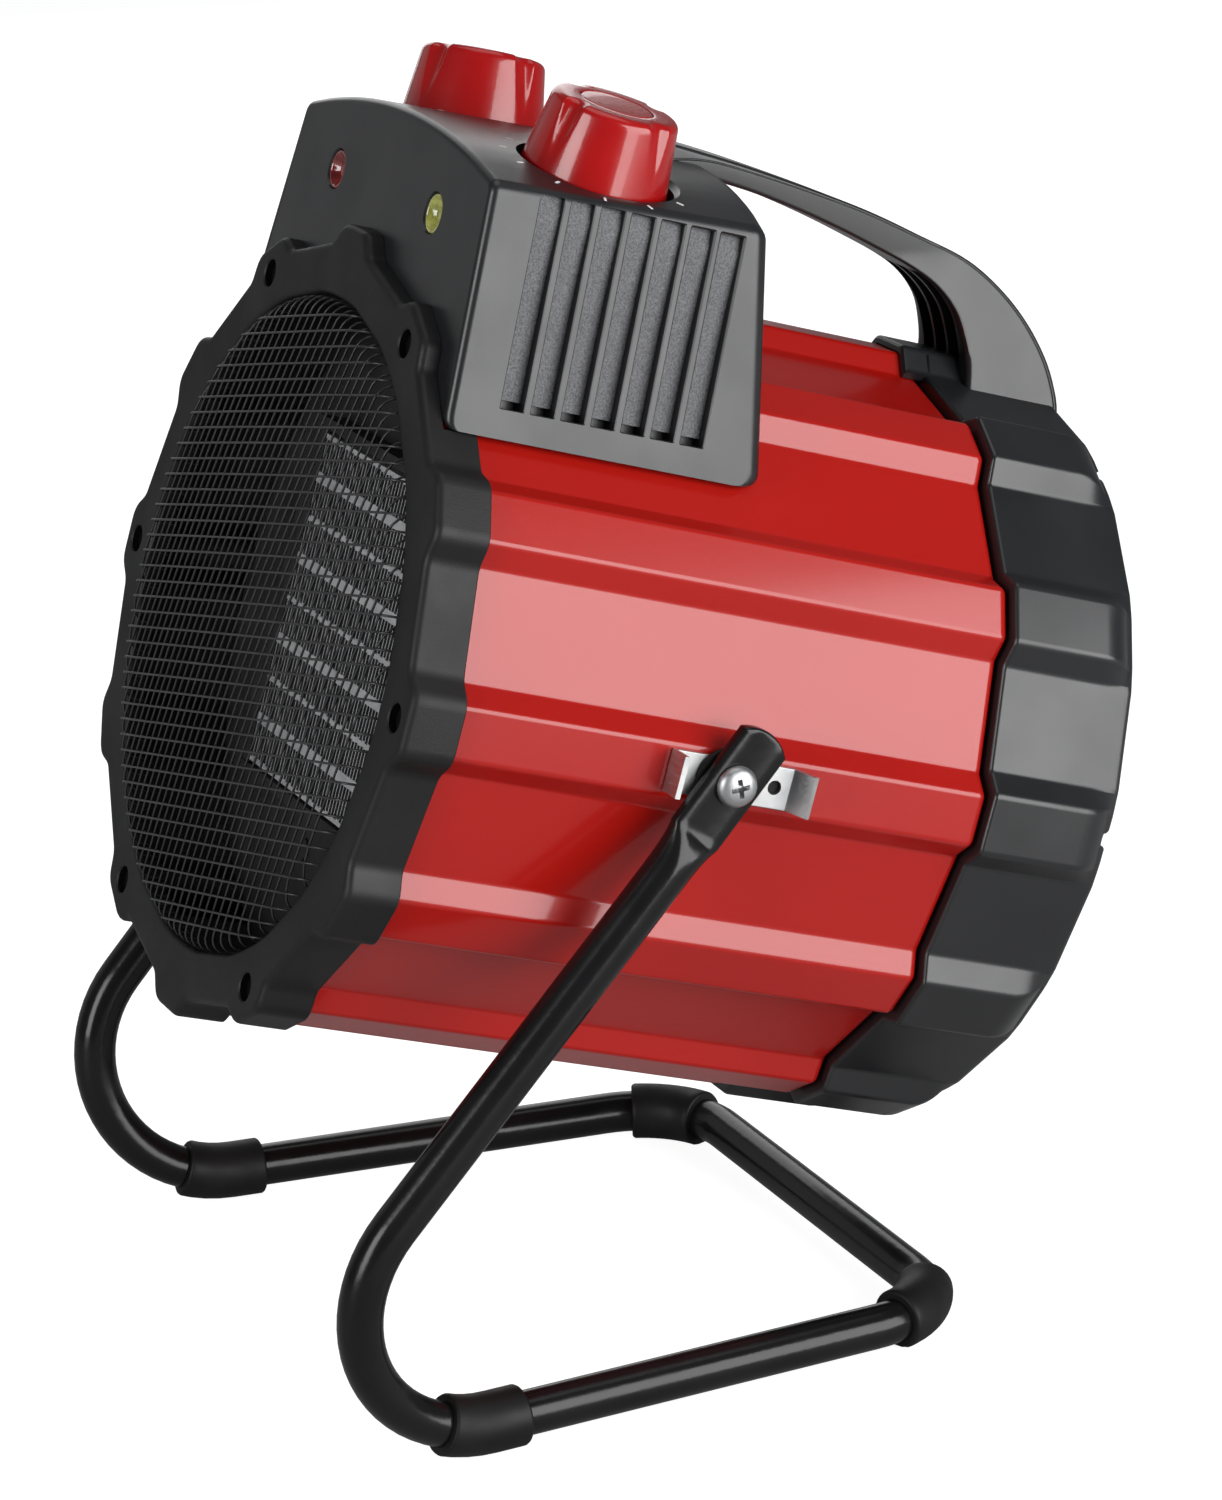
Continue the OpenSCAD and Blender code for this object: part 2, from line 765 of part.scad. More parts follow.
module heating_fins() {
    color("silver") on_pivot()
        for (i = [0 : fin_rows_n - 1])
            translate([0, 0, (i - (fin_rows_n - 1) / 2) * row_step])
                slab(element_y, element_y + element_d) fin_strip();
}

module heating_bars() {
    color("gainsboro") on_pivot()
        for (i = [0 : fin_rows_n])
            translate([0, 0, (i - fin_rows_n / 2) * row_step])
                slab(element_y, element_y + element_d) square([bar_l, heat_bar_t], center = true);
}

module element_end_blocks() {
    color([0.85, 0.83, 0.78]) on_pivot()
        for (side = [-1, 1])
            translate([side * (element_w - end_block_w) / 2, 0, 0])
                slab(element_y, element_y + element_d) square([end_block_w, element_h], center = true);
}

module element_terminals() {
    tab_rows = [-2, 0, 2];
    color("goldenrod") on_pivot()
        for (i = tab_rows)
            translate([(element_w - end_block_w) / 2, 0, i * row_step])
                slab(element_y + element_d, element_y + element_d + blade_tab_l)
                    square(blade_tab, center = true);
}

module at_cutout_rivets() {
    for (side = [-1, 1]) translate([side * cutout_rivet_x, 0, cutout_z]) children();
}

module thermal_cutout() {
    rear = frame_y + plate_t;
    ear = [2 * cutout_rivet_x + cutout_ear_w, cutout_ear_w];
    color([0.12, 0.12, 0.13]) on_pivot() difference() {
        union() {
            rod_y(cutout_r, rear, rear + cutout_h, 0, cutout_z);
            translate([0, 0, cutout_z]) slab(rear, rear + cutout_ear_t) square(ear, center = true);
            for (side = [-1, 1])
                translate([side * cutout_r / 2, 0, cutout_z])
                    slab(rear + cutout_h, rear + cutout_h + blade_tab_l) square(blade_tab, center = true);
        }
        at_cutout_rivets() rod_y(screw_r + run_gap, rear - past, rear + cutout_ear_t + past);
    }
}

module cutout_rivets() {
    rear = frame_y + plate_t + cutout_ear_t;
    color("silver") on_pivot() at_cutout_rivets() {
        rod_y(screw_r, frame_y, rear);
        rod_y(screw_head_r, frame_y - screw_head_h / 2, frame_y);
        rod_y(screw_head_r, rear, rear + screw_head_h / 2);
    }
}

// Fan
module fan_shroud() {
    color([0.08, 0.08, 0.085]) on_pivot() difference() {
        union() {
            slab(shroud_y, shroud_y + plate_t) circle(r = inner_r, $fn = 96);
            slab(shroud_y, shroud_y + shroud_l) circle(r = shroud_r + shroud_wall, $fn = 96);
            at_screws() rod_y(boss_r, shroud_y, cover_front - spigot_l - run_gap);
        }
        slab(shroud_y - past, shroud_y + shroud_l + past) circle(r = shroud_r, $fn = 96);
        at_screws() rod_y(screw_r + run_gap, shroud_y - past, cover_front);
        at_mount_posts() rod_y(screw_r + run_gap, shroud_y - past, shroud_y + plate_t + past);
    }
}

module at_mount_posts() {
    for (a = [45 : 90 : 315]) rotate([0, a, 0]) translate([0, 0, mount_post_circle]) children();
}

module motor_mount() {
    color("silver") on_pivot() difference() {
        union() {
            slab(mount_y, mount_y + mount_t) {
                circle(r = motor_r);
                for (a = [45, 135])
                    rotate(a) square([2 * mount_post_circle, mount_arm_w], center = true);
            }
            at_mount_posts() {
                rod_y(mount_arm_w / 2, mount_y, mount_y + mount_t);
                rod_y(mount_post_r, mount_y, shroud_y);
            }
        }
        rod_y(motor_neck_r + seat_gap, mount_y - past, mount_y + mount_t + past);
        at_mount_posts() rod_y(screw_r + run_gap, mount_y - past, shroud_y + past);
        at_motor_bolts() rod_y(screw_r + run_gap, mount_y - past, mount_y + mount_t + past);
    }
}

module at_motor_bolts() {
    for (side = [-1, 1]) translate([side * motor_bolt_circle, 0, 0]) children();
}

// Screws of the motor mount: four into the shroud and two into the motor
module mount_screws() {
    color("silver") on_pivot() {
        at_mount_posts() {
            rod_y(screw_head_r, mount_y - screw_head_h, mount_y);
            rod_y(screw_r, mount_y, shroud_y + plate_t);
        }
        at_motor_bolts() {
            rod_y(screw_head_r, mount_y + mount_t, mount_y + mount_t + screw_head_h);
            rod_y(screw_r, mount_y - motor_bolt_l, mount_y + mount_t);
        }
    }
}

module fan_motor() {
    color("dimgray") on_pivot() difference() {
        union() {
            rod_y(motor_bell_r, motor_y, mount_y);
            rod_y(motor_r, motor_y + motor_bell_h, mount_y - motor_bell_h);
            rod_y(motor_neck_r, motor_y - motor_neck_l, mount_y + mount_t);
        }
        rod_y(shaft_r + run_gap, shaft_front, mount_y + mount_t + past);
        at_motor_bolts() rod_y(screw_r + run_gap, mount_y - motor_bolt_l - past, mount_y + past);
    }
}

module motor_shaft() {
    color("silver") on_pivot() rod_y(shaft_r, shaft_front, shaft_rear);
}

module fan() {
    blade_t = 1.6;
    blade_pitch = 32;
    blade_root = hub_r - 3;
    chord = (fan_h - 2) / sin(blade_pitch);
    color([0.75, 0.76, 0.78]) on_pivot() difference() {
        union() {
            rod_y(hub_r, fan_y, fan_y + fan_h);
            intersection() {
                rod_y(fan_r, fan_y, fan_y + fan_h);
                for (i = [0 : blade_n - 1])
                    rotate([0, i * 360 / blade_n, 0])
                        translate([0, fan_y + fan_h / 2, blade_root])
                            rotate([0, 0, blade_pitch])
                                translate([-chord / 2, -blade_t / 2, 0])
                                    cube([chord, blade_t, fan_r]);
            }
        }
        rod_y(shaft_r + run_gap / 2, fan_y - past, fan_y + fan_h + past);
    }
}

// Rear cover: fluted like the shell, with ridges that fade out towards the rear
module cover_form(extra, y0, y1) {
    wide = ridge_top_d + cover_over + ridge_top_w;
    rim = cover_rim_d + extra;
    intersection() {
        slab(y0, y1) polygon(flutes(cover_over + extra));
        about_y() rotate_extrude($fn = 96) polygon([
            [0, y0], [wide, y0], [wide, cover_rear - cover_fade],
            [ridge_top_d + cover_over + extra + slide_gap, cover_rear - cover_fade],
            [rim, cover_rear - cover_edge + extra], [rim - cover_edge, cover_rear + extra],
            [0, cover_rear + extra]
        ]);
    }
}

module rear_cover() {
    spigot_front = cover_front - spigot_l;
    color([0.06, 0.06, 0.065]) on_pivot() difference() {
        union() {
            difference() {
                cover_form(0, cover_front, cover_rear + past);
                cover_form(-cover_wall, cover_front + cover_wall, cover_rear - rear_wall_t);
                slab(cover_front - past, cover_front + cover_wall + past)
                    circle(r = inner_r - spigot_wall, $fn = 96);
            }
            slab(spigot_front, cover_front + cover_wall) flat_ring(inner_r, inner_r - spigot_wall);
            at_screws() rod_y(boss_r, spigot_front, cover_rear - rear_wall_t);
            // Tab over the shell's top ridge, below the handle
            intersection() {
                slab(cover_front - tab_l, cover_front) difference() {
                    polygon(flutes(cover_over));
                    polygon(flutes(seat_gap));
                }
                translate([-tab_w / 2, 0, 0]) cube([tab_w, far, far]);
            }
        }
        at_screws() {
            rod_y(screw_r + seat_gap, 0, cover_rear + past);
            rod_y(cover_hole_r, cover_screw_seat, cover_rear + past);
        }
        slab(cover_rear - rear_wall_t - past, cover_rear + past) intake_slots();
        rod_y(gland_r + run_gap, cover_front, cover_rear + past, 0, -gland_circle);
        rod_z(handle_screw_r + seat_gap, 0, far, 0, handle_screw_y);
    }
}

module intake_slots() {
    difference() {
        for (i = [0 : intake_rings - 1])
            flat_ring(intake_r - i * slot_ring_step, intake_r - i * slot_ring_step - slot_ring_w);
        for (a = [0 : 45 : 135]) rotate(a) square([2 * intake_r + 2 * past, slot_spoke_w], center = true);
    }
}

module cover_screws() {
    color("silver") on_pivot() at_screws() {
        rod_y(cover_hole_r - seat_gap, cover_screw_seat, cover_screw_seat + screw_head_h);
        rod_y(screw_r, cover_screw_seat - cover_screw_l, cover_screw_seat);
    }
}

module cord_gland() {
    color([0.04, 0.04, 0.04]) on_pivot() translate([0, 0, -gland_circle]) difference() {
        union() {
            rod_y(gland_r, cover_rear + gland_rim_h - gland_l, cover_rear + gland_rim_h);
            rod_y(gland_rim_r, cover_rear, cover_rear + gland_rim_h);
        }
        rod_y(cord_r, cover_rear - gland_l, cover_rear + gland_rim_h + past);
    }
}

// Control box
module box_form(e) {
    intersection() {
        translate([0, box_front, 0]) rotate([box_slope, 0, 0])
            translate([0, -box_front, 0]) slab(-box_front, 2 * box_rear) polygon(grow(box_outline(), e));
        translate([-far, box_front - e, 0]) cube([2 * far, far, far]);
        translate([0, box_rear, box_top]) rotate([box_lean, 0, 0])
            translate([0, -rear_bow_r, -far]) cylinder(r = rear_bow_r + e, h = 2 * far, $fn = 180);
    }
}

// The frame of a side wall: x' out of the wall, z' up along it from its low edge
module on_wall(side) {
    on_side(side) translate([box_low_w / 2, 0, box_low]) rotate([0, -box_flare, 0]) children();
}

module at_slots(side) {
    on_wall(side) for (i = [0 : slot_n - 1]) translate([0, slot_first + i * slot_pitch, 0]) children();
}

// The frame of a knob's shaft, which stands square on the crowned top at the knob's pad
module on_knob(side) {
    translate([side * knob_spacing / 2, knob_y, knob_pad]) rotate([0, side * knob_lean, 0])
        translate([0, 0, -knob_pad]) children();
}

module control_box() {
    color([0.07, 0.07, 0.075]) on_pivot() difference() {
        union() {
            difference() {
                box_form(0);
                box_form(-box_wall);
                for (side = [-1, 1]) {
                    at_slots(side) translate([-box_wall - past, 0, slot_low])
                        cube([box_wall + 2 * past, slot_w, slot_high - slot_low]);
                    on_knob(side) rod_z(recess_r, knob_pad, far);
                }
            }
            intersection() {
                box_form(0);
                for (side = [-1, 1]) on_knob(side) rod_z(recess_r + box_wall, pad_low, far);
            }
            for (side = [-1, 1]) at_slots(side) vane();
        }
        slab(0, 2 * box_rear) polygon(flutes(seat_gap));
        for (side = [-1, 1]) {
            on_knob(side) {
                rod_z(recess_r, knob_pad, far);
                rod_z(bush_r + seat_gap, pad_low - past, far);
            }
            rod_y(lens_r + seat_gap, 0, box_front + box_wall + past, side * lamp_spacing / 2, lamp_z);
        }
        rod_z(handle_screw_r + seat_gap, 0, far, 0, handle_front_screw_y);
    }
}

// A louvre vane that runs inwards from the slot's front edge
module vane() {
    translate([0, 0, slot_low - past]) linear_extrude(slot_high - slot_low + past) polygon([
        [-vane_sink, 0], [-vane_sink, -vane_t], [-box_wall, -vane_t],
        [-vane_in - vane_t, slot_w - vane_t], [-vane_in, slot_w - vane_t]
    ]);
}

module lens(side) {
    front = box_front + lens_sink;
    rear = box_front + box_wall;
    on_pivot() translate([side * lamp_spacing / 2, 0, lamp_z]) {
        rod_y(lens_r, front, rear);
        intersection() {
            translate([0, front + 2 * lens_r - lens_dome, 0]) sphere(r = 2 * lens_r);
            rod_y(lens_r - lens_dome, 0, rear);
        }
    }
}

module power_lens() color([0.55, 0.05, 0.05]) lens(-1);
module warning_lens() color([0.7, 0.68, 0.15]) lens(1);

module lamp_holders() {
    color([0.1, 0.1, 0.1]) on_pivot()
        for (side = [-1, 1])
            rod_y(holder_r, box_front + box_wall, box_front + box_wall + holder_l,
                  side * lamp_spacing / 2, lamp_z);
}

// Thermostat and heat selector, each with its nut, shaft, knob and knob cap
module dial_body(side) {
    color([0.85, 0.82, 0.74]) on_pivot() on_knob(side) difference() {
        union() {
            translate([-dial_body_w / 2, -dial_body_w / 2, pad_low - dial_body_h])
                cube([dial_body_w, dial_body_w, dial_body_h]);
            rod_z(bush_r, pad_low - past, bush_top);
        }
        rod_z(dial_shaft_r + run_gap, dial_shaft_low, far);
    }
}

module dial_nut(side) {
    color("silver") on_pivot() on_knob(side) difference() {
        translate([0, 0, knob_pad]) cylinder(r = nut_r, h = nut_h, $fn = 6);
        rod_z(bush_r + run_gap, 0, far);
    }
}

module dial_shaft(side) {
    color("silver") on_pivot() on_knob(side) rod_z(dial_shaft_r, dial_shaft_low, dial_shaft_top);
}

module dial_knob(side) {
    color([0.7, 0.05, 0.06]) on_pivot() on_knob(side) difference() {
        rotate_extrude($fn = 96) polygon(concat(
            [[0, knob_low], [knob_foot_r, knob_low]],
            [for (a = [0 : 15 : 90])
                [knob_top_r - knob_edge * (1 - cos(a)), knob_top - knob_edge * (1 - sin(a))]],
            [[0, knob_top]]
        ));
        rod_z(nut_r + 2, 0, bush_top + 2);
        rod_z(dial_shaft_r + run_gap / 2, 0, dial_shaft_top);
        rod_z(cap_r + run_gap, knob_top - cap_h, far);
        for (i = [0 : knob_notches - 1])
            rotate([0, 0, (i + 0.5) * 360 / knob_notches + (side < 0 ? thermostat_turned : 0)])
                translate([notch_out, 0, knob_low + notch_up])
                    rotate([0, -notch_lean, 0])
                        translate([0, 0, -knob_h]) cylinder(r = notch_r, h = 3 * knob_h);
    }
}

module dial_cap(side) {
    color([0.74, 0.07, 0.08]) on_pivot() on_knob(side) rod_z(cap_r, knob_top - cap_h, knob_top);
}

module thermostat_body() dial_body(-1);
module thermostat_nut() dial_nut(-1);
module thermostat_shaft() dial_shaft(-1);
module thermostat_knob() dial_knob(-1);
module thermostat_cap() dial_cap(-1);
module selector_body() dial_body(1);
module selector_nut() dial_nut(1);
module selector_shaft() dial_shaft(1);
module selector_knob() dial_knob(1);
module selector_cap() dial_cap(1);

// Handle: an arch with an open, ribbed rear leg
module handle() {
    color([0.08, 0.08, 0.085]) on_pivot() difference() {
        across(-handle_w / 2, handle_w / 2) polygon(handle_outline());
        box_form(seat_gap);
        cover_form(seat_gap, cover_front - tab_l - past, cover_rear + past);
        for (i = [0 : cell_n - 1])
            translate([(i - (cell_n - 1) / 2) * (cell_w + rib_t), 0, 0])
                across(-cell_w / 2, cell_w / 2) polygon(handle_hollow());
        rod_z(handle_screw_r + run_gap, 0, handle_screw_z + handle_screw_l, 0, handle_screw_y);
        rod_z(handle_screw_r + run_gap, 0, handle_front_screw_top, 0, handle_front_screw_y);
    }
}

// A screw that goes up into the handle, with its head at z
module handle_screw(y, z, top) {
    rod_z(handle_screw_r, z, top, 0, y);
    rod_z(handle_head_r, z - screw_head_h, z, 0, y);
}

module handle_screws() {
    color("silver") on_pivot() {
        handle_screw(handle_screw_y, handle_screw_z, handle_screw_z + handle_screw_l);
        handle_screw(handle_front_screw_y, handle_front_screw_z, handle_front_screw_top);
    }
}

// Pivot: bracket, friction washer, screw and nut on each side
module bracket(side) {
    front = pivot_back - flange_ahead - bracket_t;
    color("silver") on_pivot() on_side(side) difference() {
        union() {
            across(ridge_top_d, bracket_x)
                translate([front, -ridge_top_w / 2]) square([bracket_l, ridge_top_w]);
            for (y = [front, front + bracket_l - bracket_t])
                across(ridge_top_d, ridge_top_d + flange_out)
                    translate([y, -ridge_top_w / 2]) square([bracket_t, ridge_top_w]);
        }
        rod_x(pivot_r + seat_gap, 0, far, pivot_back);
        rod_x(spare_hole_r, 0, far, spare_hole_y);
    }
}

module washer(side) {
    color([0.05, 0.05, 0.05]) on_pivot() on_side(side) difference() {
        rod_x(washer_r, bracket_x, leg_inner_x, pivot_back);
        rod_x(pivot_r + seat_gap, 0, far, pivot_back);
    }
}

module pivot_screw(side) {
    dome_r = (head_r * head_r + head_h * head_h) / (2 * head_h);
    dome = [for (a = asin(head_r / dome_r) * [1, 0.8, 0.6, 0.4, 0.2, 0]) dome_r * [sin(a), cos(a)]];
    color("silver") on_pivot() on_side(side) translate([0, pivot_back, 0]) rotate([0, 90, 0])
        rotate_extrude() polygon(concat(
            [[0, pivot_nut_x - past], [pivot_r, pivot_nut_x - past], [pivot_r, screw_x]],
            [for (p = dome) p + [0, screw_x + head_h - dome_r]]
        ));
}

module pivot_nut(side) {
    color("silver") on_pivot() on_side(side) difference() {
        translate([pivot_nut_x, pivot_back, 0])
            rotate([0, 90, 0]) cylinder(r = pivot_nut_r, h = nut_t, $fn = 6);
        rod_x(pivot_r + run_gap / 2, 0, far, pivot_back);
    }
}

module left_bracket() bracket(-1);
module right_bracket() bracket(1);
module left_washer() washer(-1);
module right_washer() washer(1);
module left_pivot_screw() pivot_screw(-1);
module right_pivot_screw() pivot_screw(1);
module left_pivot_nut() pivot_nut(-1);
module right_pivot_nut() pivot_nut(1);

stand_tube();
front_left_foot();
front_right_foot();
rear_left_foot();
rear_right_foot();
barrel_shell();
front_ring();
ring_screws();
front_grille();
element_frame();
heating_fins();
heating_bars();
element_end_blocks();
element_terminals();
thermal_cutout();
cutout_rivets();
fan_shroud();
motor_mount();
mount_screws();
fan_motor();
motor_shaft();
fan();
rear_cover();
cover_screws();
cord_gland();
control_box();
power_lens();
warning_lens();
lamp_holders();
thermostat_body();
thermostat_nut();
thermostat_shaft();
thermostat_knob();
thermostat_cap();
selector_body();
selector_nut();
selector_shaft();
selector_knob();
selector_cap();
handle();
handle_screws();
left_bracket();
right_bracket();
left_washer();
right_washer();
left_pivot_screw();
right_pivot_screw();
left_pivot_nut();
right_pivot_nut();
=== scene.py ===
# %% [markdown]
# # A ceramic heater on a tilting stand
# The solids of this heater are already made and packed: they hold every size and every joint. This
# lesson dresses them. It loads the solids as a fixed frame, builds finer meshes for what the eye
# sees, gives each a finish made of shader nodes, and sets up a plain studio.

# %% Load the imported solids
import json
from math import asin, atan2, copysign, cos, degrees, exp, hypot, log, pi, radians, sin, sqrt, tan
import bmesh
import bpy
from mathutils import Matrix, Vector


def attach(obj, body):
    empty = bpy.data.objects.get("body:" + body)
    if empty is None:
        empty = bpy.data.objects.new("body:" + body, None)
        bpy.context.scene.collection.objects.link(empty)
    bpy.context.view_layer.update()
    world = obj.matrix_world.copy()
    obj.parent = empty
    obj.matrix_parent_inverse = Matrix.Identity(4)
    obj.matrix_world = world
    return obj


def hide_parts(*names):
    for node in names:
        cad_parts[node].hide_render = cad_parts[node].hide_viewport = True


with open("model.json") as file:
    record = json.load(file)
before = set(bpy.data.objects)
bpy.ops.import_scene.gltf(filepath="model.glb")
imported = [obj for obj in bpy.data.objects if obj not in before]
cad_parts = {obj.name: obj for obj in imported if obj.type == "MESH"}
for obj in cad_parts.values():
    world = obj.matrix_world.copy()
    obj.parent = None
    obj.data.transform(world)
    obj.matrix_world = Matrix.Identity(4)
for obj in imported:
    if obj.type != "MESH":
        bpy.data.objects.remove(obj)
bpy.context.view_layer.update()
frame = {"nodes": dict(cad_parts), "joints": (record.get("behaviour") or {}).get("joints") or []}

# %% [markdown]
# ## Two places to measure from
# The barrel leans back, so its pieces are easiest to draw as if it lay straight: x to the side, y
# from the front face to the rear, z up from its axis, all in millimetres. One matrix then carries
# them onto the tilt pivot and into metres. The stand has its own place: the middle of its floor
# tubes, below the pivot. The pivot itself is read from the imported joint, so it can't drift.

# %% Matrices for the barrel and the stand
def shift(x, y, z):
    return Matrix.Translation((x, y, z))


MM = 0.001
TILT = radians(17.4)
PIVOT_BACK = 93.8
FLOOR_UP = 7.9
tilt_joint = next(j for j in frame["joints"] if j["name"] == "tilt")
PIVOT = Vector(tilt_joint["pos_m"])
TO_METRES = Matrix.Scale(MM, 4)
BARREL = (Matrix.Translation(PIVOT) @ Matrix.Rotation(-TILT, 4, "X")
          @ TO_METRES @ shift(0, -PIVOT_BACK, 0))
STAND = shift(0, PIVOT.y, FLOOR_UP * MM) @ TO_METRES
print("pivot at", [round(c, 4) for c in PIVOT])

# %% [markdown]
# ## The camera
# The photograph was solved for its viewpoint: a long lens, from the right and a little above, with a
# slight roll. A camera looks down its own -Z, so its matrix is built from three directions: right, up
# and back. Writing the matrix is steadier than aiming a constraint at an empty.

# %% Camera at the photograph's viewpoint
AZIMUTH, ELEVATION, ROLL = radians(66.99), radians(17.12), radians(-1.73)
CAMERA_PLACE = Vector((1.34109, -0.56816, 0.60525))
back = Vector((sin(AZIMUTH) * cos(ELEVATION), -cos(AZIMUTH) * cos(ELEVATION),
               sin(ELEVATION)))
level = Vector((cos(AZIMUTH), sin(AZIMUTH), 0))
right = cos(ROLL) * level + sin(ROLL) * back.cross(level)
up = back.cross(right)
camera = bpy.data.objects.new("camera", bpy.data.cameras.new("camera"))
camera.data.lens = 128.73
camera.data.sensor_width = 36
camera.data.clip_end = 20
camera.matrix_world = Matrix.Translation(CAMERA_PLACE) @ Matrix((right, up, back)).transposed().to_4x4()
bpy.context.scene.collection.objects.link(camera)
bpy.context.scene.camera = camera
print("camera at", [round(c, 3) for c in camera.location], "lens", round(camera.data.lens, 2))

# %% [markdown]
# ## Effects that several finishes share
# A moulded part is never one even colour: its tool leaves a grain, and handling leaves patches that
# are a little duller. Each such effect is drawn once as a node group, with its size as an input, and
# its output feeds bump height, roughness or colour wherever it is needed. Object coordinates are in
# metres here, so a noise scale of 2000 means features about half a millimetre across.

# %% Helpers for shader nodes
def fill(tree, node, **inputs):
    """Types a value into each named input, or links another node's output to it."""
    for label, value in inputs.items():
        socket = node.inputs[label.replace("_", " ")]
        if isinstance(value, bpy.types.NodeSocket):
            tree.links.new(value, socket)
        else:
            socket.default_value = value
    return node


def node_in(tree, kind, how=None, **inputs):
    """Adds a node; how holds its settings, such as an operation."""
    node = tree.nodes.new("ShaderNode" + kind)
    for label, value in (how or {}).items():
        setattr(node, label, value)
    return fill(tree, node, **inputs)


def new_group(name, inputs, output):
    """An empty group: its tree, its inputs (a vector and some numbers) and the socket of its one output."""
    tree = bpy.data.node_groups.new(name, "ShaderNodeTree")
    tree.interface.new_socket("Vector", in_out="INPUT", socket_type="NodeSocketVector")
    for label, value in inputs.items():
        number = tree.interface.new_socket(label, in_out="INPUT", socket_type="NodeSocketFloat")
        number.default_value = value
    tree.interface.new_socket(output, in_out="OUTPUT", socket_type="NodeSocketFloat")
    return tree, tree.nodes.new("NodeGroupInput").outputs, tree.nodes.new("NodeGroupOutput").inputs[output]


print("helpers for nodes:", [tool.__name__ for tool in (fill, node_in, new_group)])

# %% The groups
NOISE_LOW, NOISE_HIGH, STROKE_SCALE = 0.35, 0.65, (150.0, 2500.0, 2500.0)


def spread(tree, noise, low, high):
    """Stretches the middle of a noise onto the range from low to high."""
    return node_in(tree, "MapRange", Value=noise.outputs["Fac"], From_Min=NOISE_LOW, From_Max=NOISE_HIGH,
                   To_Min=low, To_Max=high).outputs["Result"]


def grain_group():
    """Fine pebbles of a spark-eroded mould."""
    tree, start, end = new_group("mould_grain", {"Scale": 2600.0}, "Height")
    noise = node_in(tree, "TexNoise", Vector=start["Vector"], Scale=start["Scale"])
    pebbles = node_in(tree, "TexVoronoi", Vector=start["Vector"], Scale=start["Scale"])
    total = node_in(tree, "Math", {"operation": "ADD"})
    tree.links.new(noise.outputs["Fac"], total.inputs[0])
    tree.links.new(pebbles.outputs["Distance"], total.inputs[1])
    tree.links.new(total.outputs[0], end)
    return tree


def patches_group():
    """Soft, uneven patches between two values."""
    tree, start, end = new_group("patches", {"Scale": 30.0, "Low": 0.0, "High": 1.0}, "Value")
    noise = node_in(tree, "TexNoise", Vector=start["Vector"], Scale=start["Scale"], Detail=5.0)
    tree.links.new(spread(tree, noise, start["Low"], start["High"]), end)
    return tree


def strokes_group():
    """Fine parallel strokes along x, as rolling or brushing leaves them."""
    tree, start, end = new_group("strokes", {"Low": 0.0, "High": 1.0}, "Value")
    stretch = node_in(tree, "VectorMath", {"operation": "MULTIPLY"}, Vector=start["Vector"])
    stretch.inputs[1].default_value = STROKE_SCALE
    noise = node_in(tree, "TexNoise", Vector=stretch.outputs[0], Scale=1.0)
    tree.links.new(spread(tree, noise, start["Low"], start["High"]), end)
    return tree


GRAIN, PATCHES, STROKES = grain_group(), patches_group(), strokes_group()
print("node groups:", [g.name for g in bpy.data.node_groups])

# %% [markdown]
# ## Building a finish
# Every finish starts from one principled shader. What is even all over, such as a coat or a metal's
# metalness, is typed on the shader. What varies comes from the groups: two tones mixed by patches, a
# roughness that wanders between two values, and a bump from grain, patches or strokes.

# %% A function that makes a finish
ROUGH_FINER = 1.7


def finish_of(name, tones, rough, bump=None, metal=0.0, patch=30.0, rough_by=PATCHES, **even):
    """tones: two colours; rough: two values; bump: (group, scale, strength, distance in metres)."""
    mat = bpy.data.materials.new(name)
    mat.use_nodes = True
    tree = mat.node_tree
    shader = tree.nodes["Principled BSDF"]
    place = tree.nodes.new("ShaderNodeTexCoord").outputs["Object"]

    def use(group, **values):
        return node_in(tree, "Group", {"node_tree": group}, Vector=place, **values).outputs[0]

    low, high = ((*tone, 1) for tone in tones)
    mix = node_in(tree, "Mix", {"data_type": "RGBA"}, A=low, B=high, Factor=use(PATCHES, Scale=patch))
    finer = {"Scale": ROUGH_FINER * patch} if rough_by is PATCHES else {}
    fill(tree, shader, Base_Color=mix.outputs["Result"], Metallic=metal,
         Roughness=use(rough_by, Low=rough[0], High=rough[1], **finer), **even)
    if bump:
        group, scale, strength, distance = bump
        height = use(group) if scale is None else use(group, Scale=scale)
        node = node_in(tree, "Bump", Strength=strength, Distance=distance, Height=height)
        fill(tree, shader, Normal=node.outputs["Normal"])
    return mat


print("a finish takes its tones, roughness and bump from", len(bpy.data.node_groups), "groups")

# %% [markdown]
# ## The finishes
# The barrel is sheet steel with a sprayed and baked gloss enamel: a clear skin over a deep red, with
# the faint waves that painters call orange peel. The mouldings are carbon-black plastic, satin where
# the mould was polished and duller where it was textured. The stand has a thicker black gloss.

# %% Paints, plastics and rubber
red_paint = finish_of(
    "red enamel", [(0.33, 0.005, 0.003), (0.36, 0.007, 0.004)], (0.28, 0.33),
    (PATCHES, 420.0, 0.06, 0.0002), patch=9.0, Specular_IOR_Level=0.25, Coat_Weight=0.5,
    Coat_Roughness=0.10)
red_plastic = finish_of(
    "red knob plastic", [(0.32, 0.003, 0.004), (0.36, 0.005, 0.005)], (0.18, 0.26),
    (PATCHES, 500.0, 0.06, 0.0002), patch=40.0, Specular_IOR_Level=0.3, Coat_Weight=0.5,
    Coat_Roughness=0.05)
satin_plastic = finish_of(
    "satin black plastic", [(0.010, 0.0105, 0.0115), (0.014, 0.0145, 0.016)], (0.28, 0.36),
    (GRAIN, 3200.0, 0.10, 0.00008), patch=24.0)
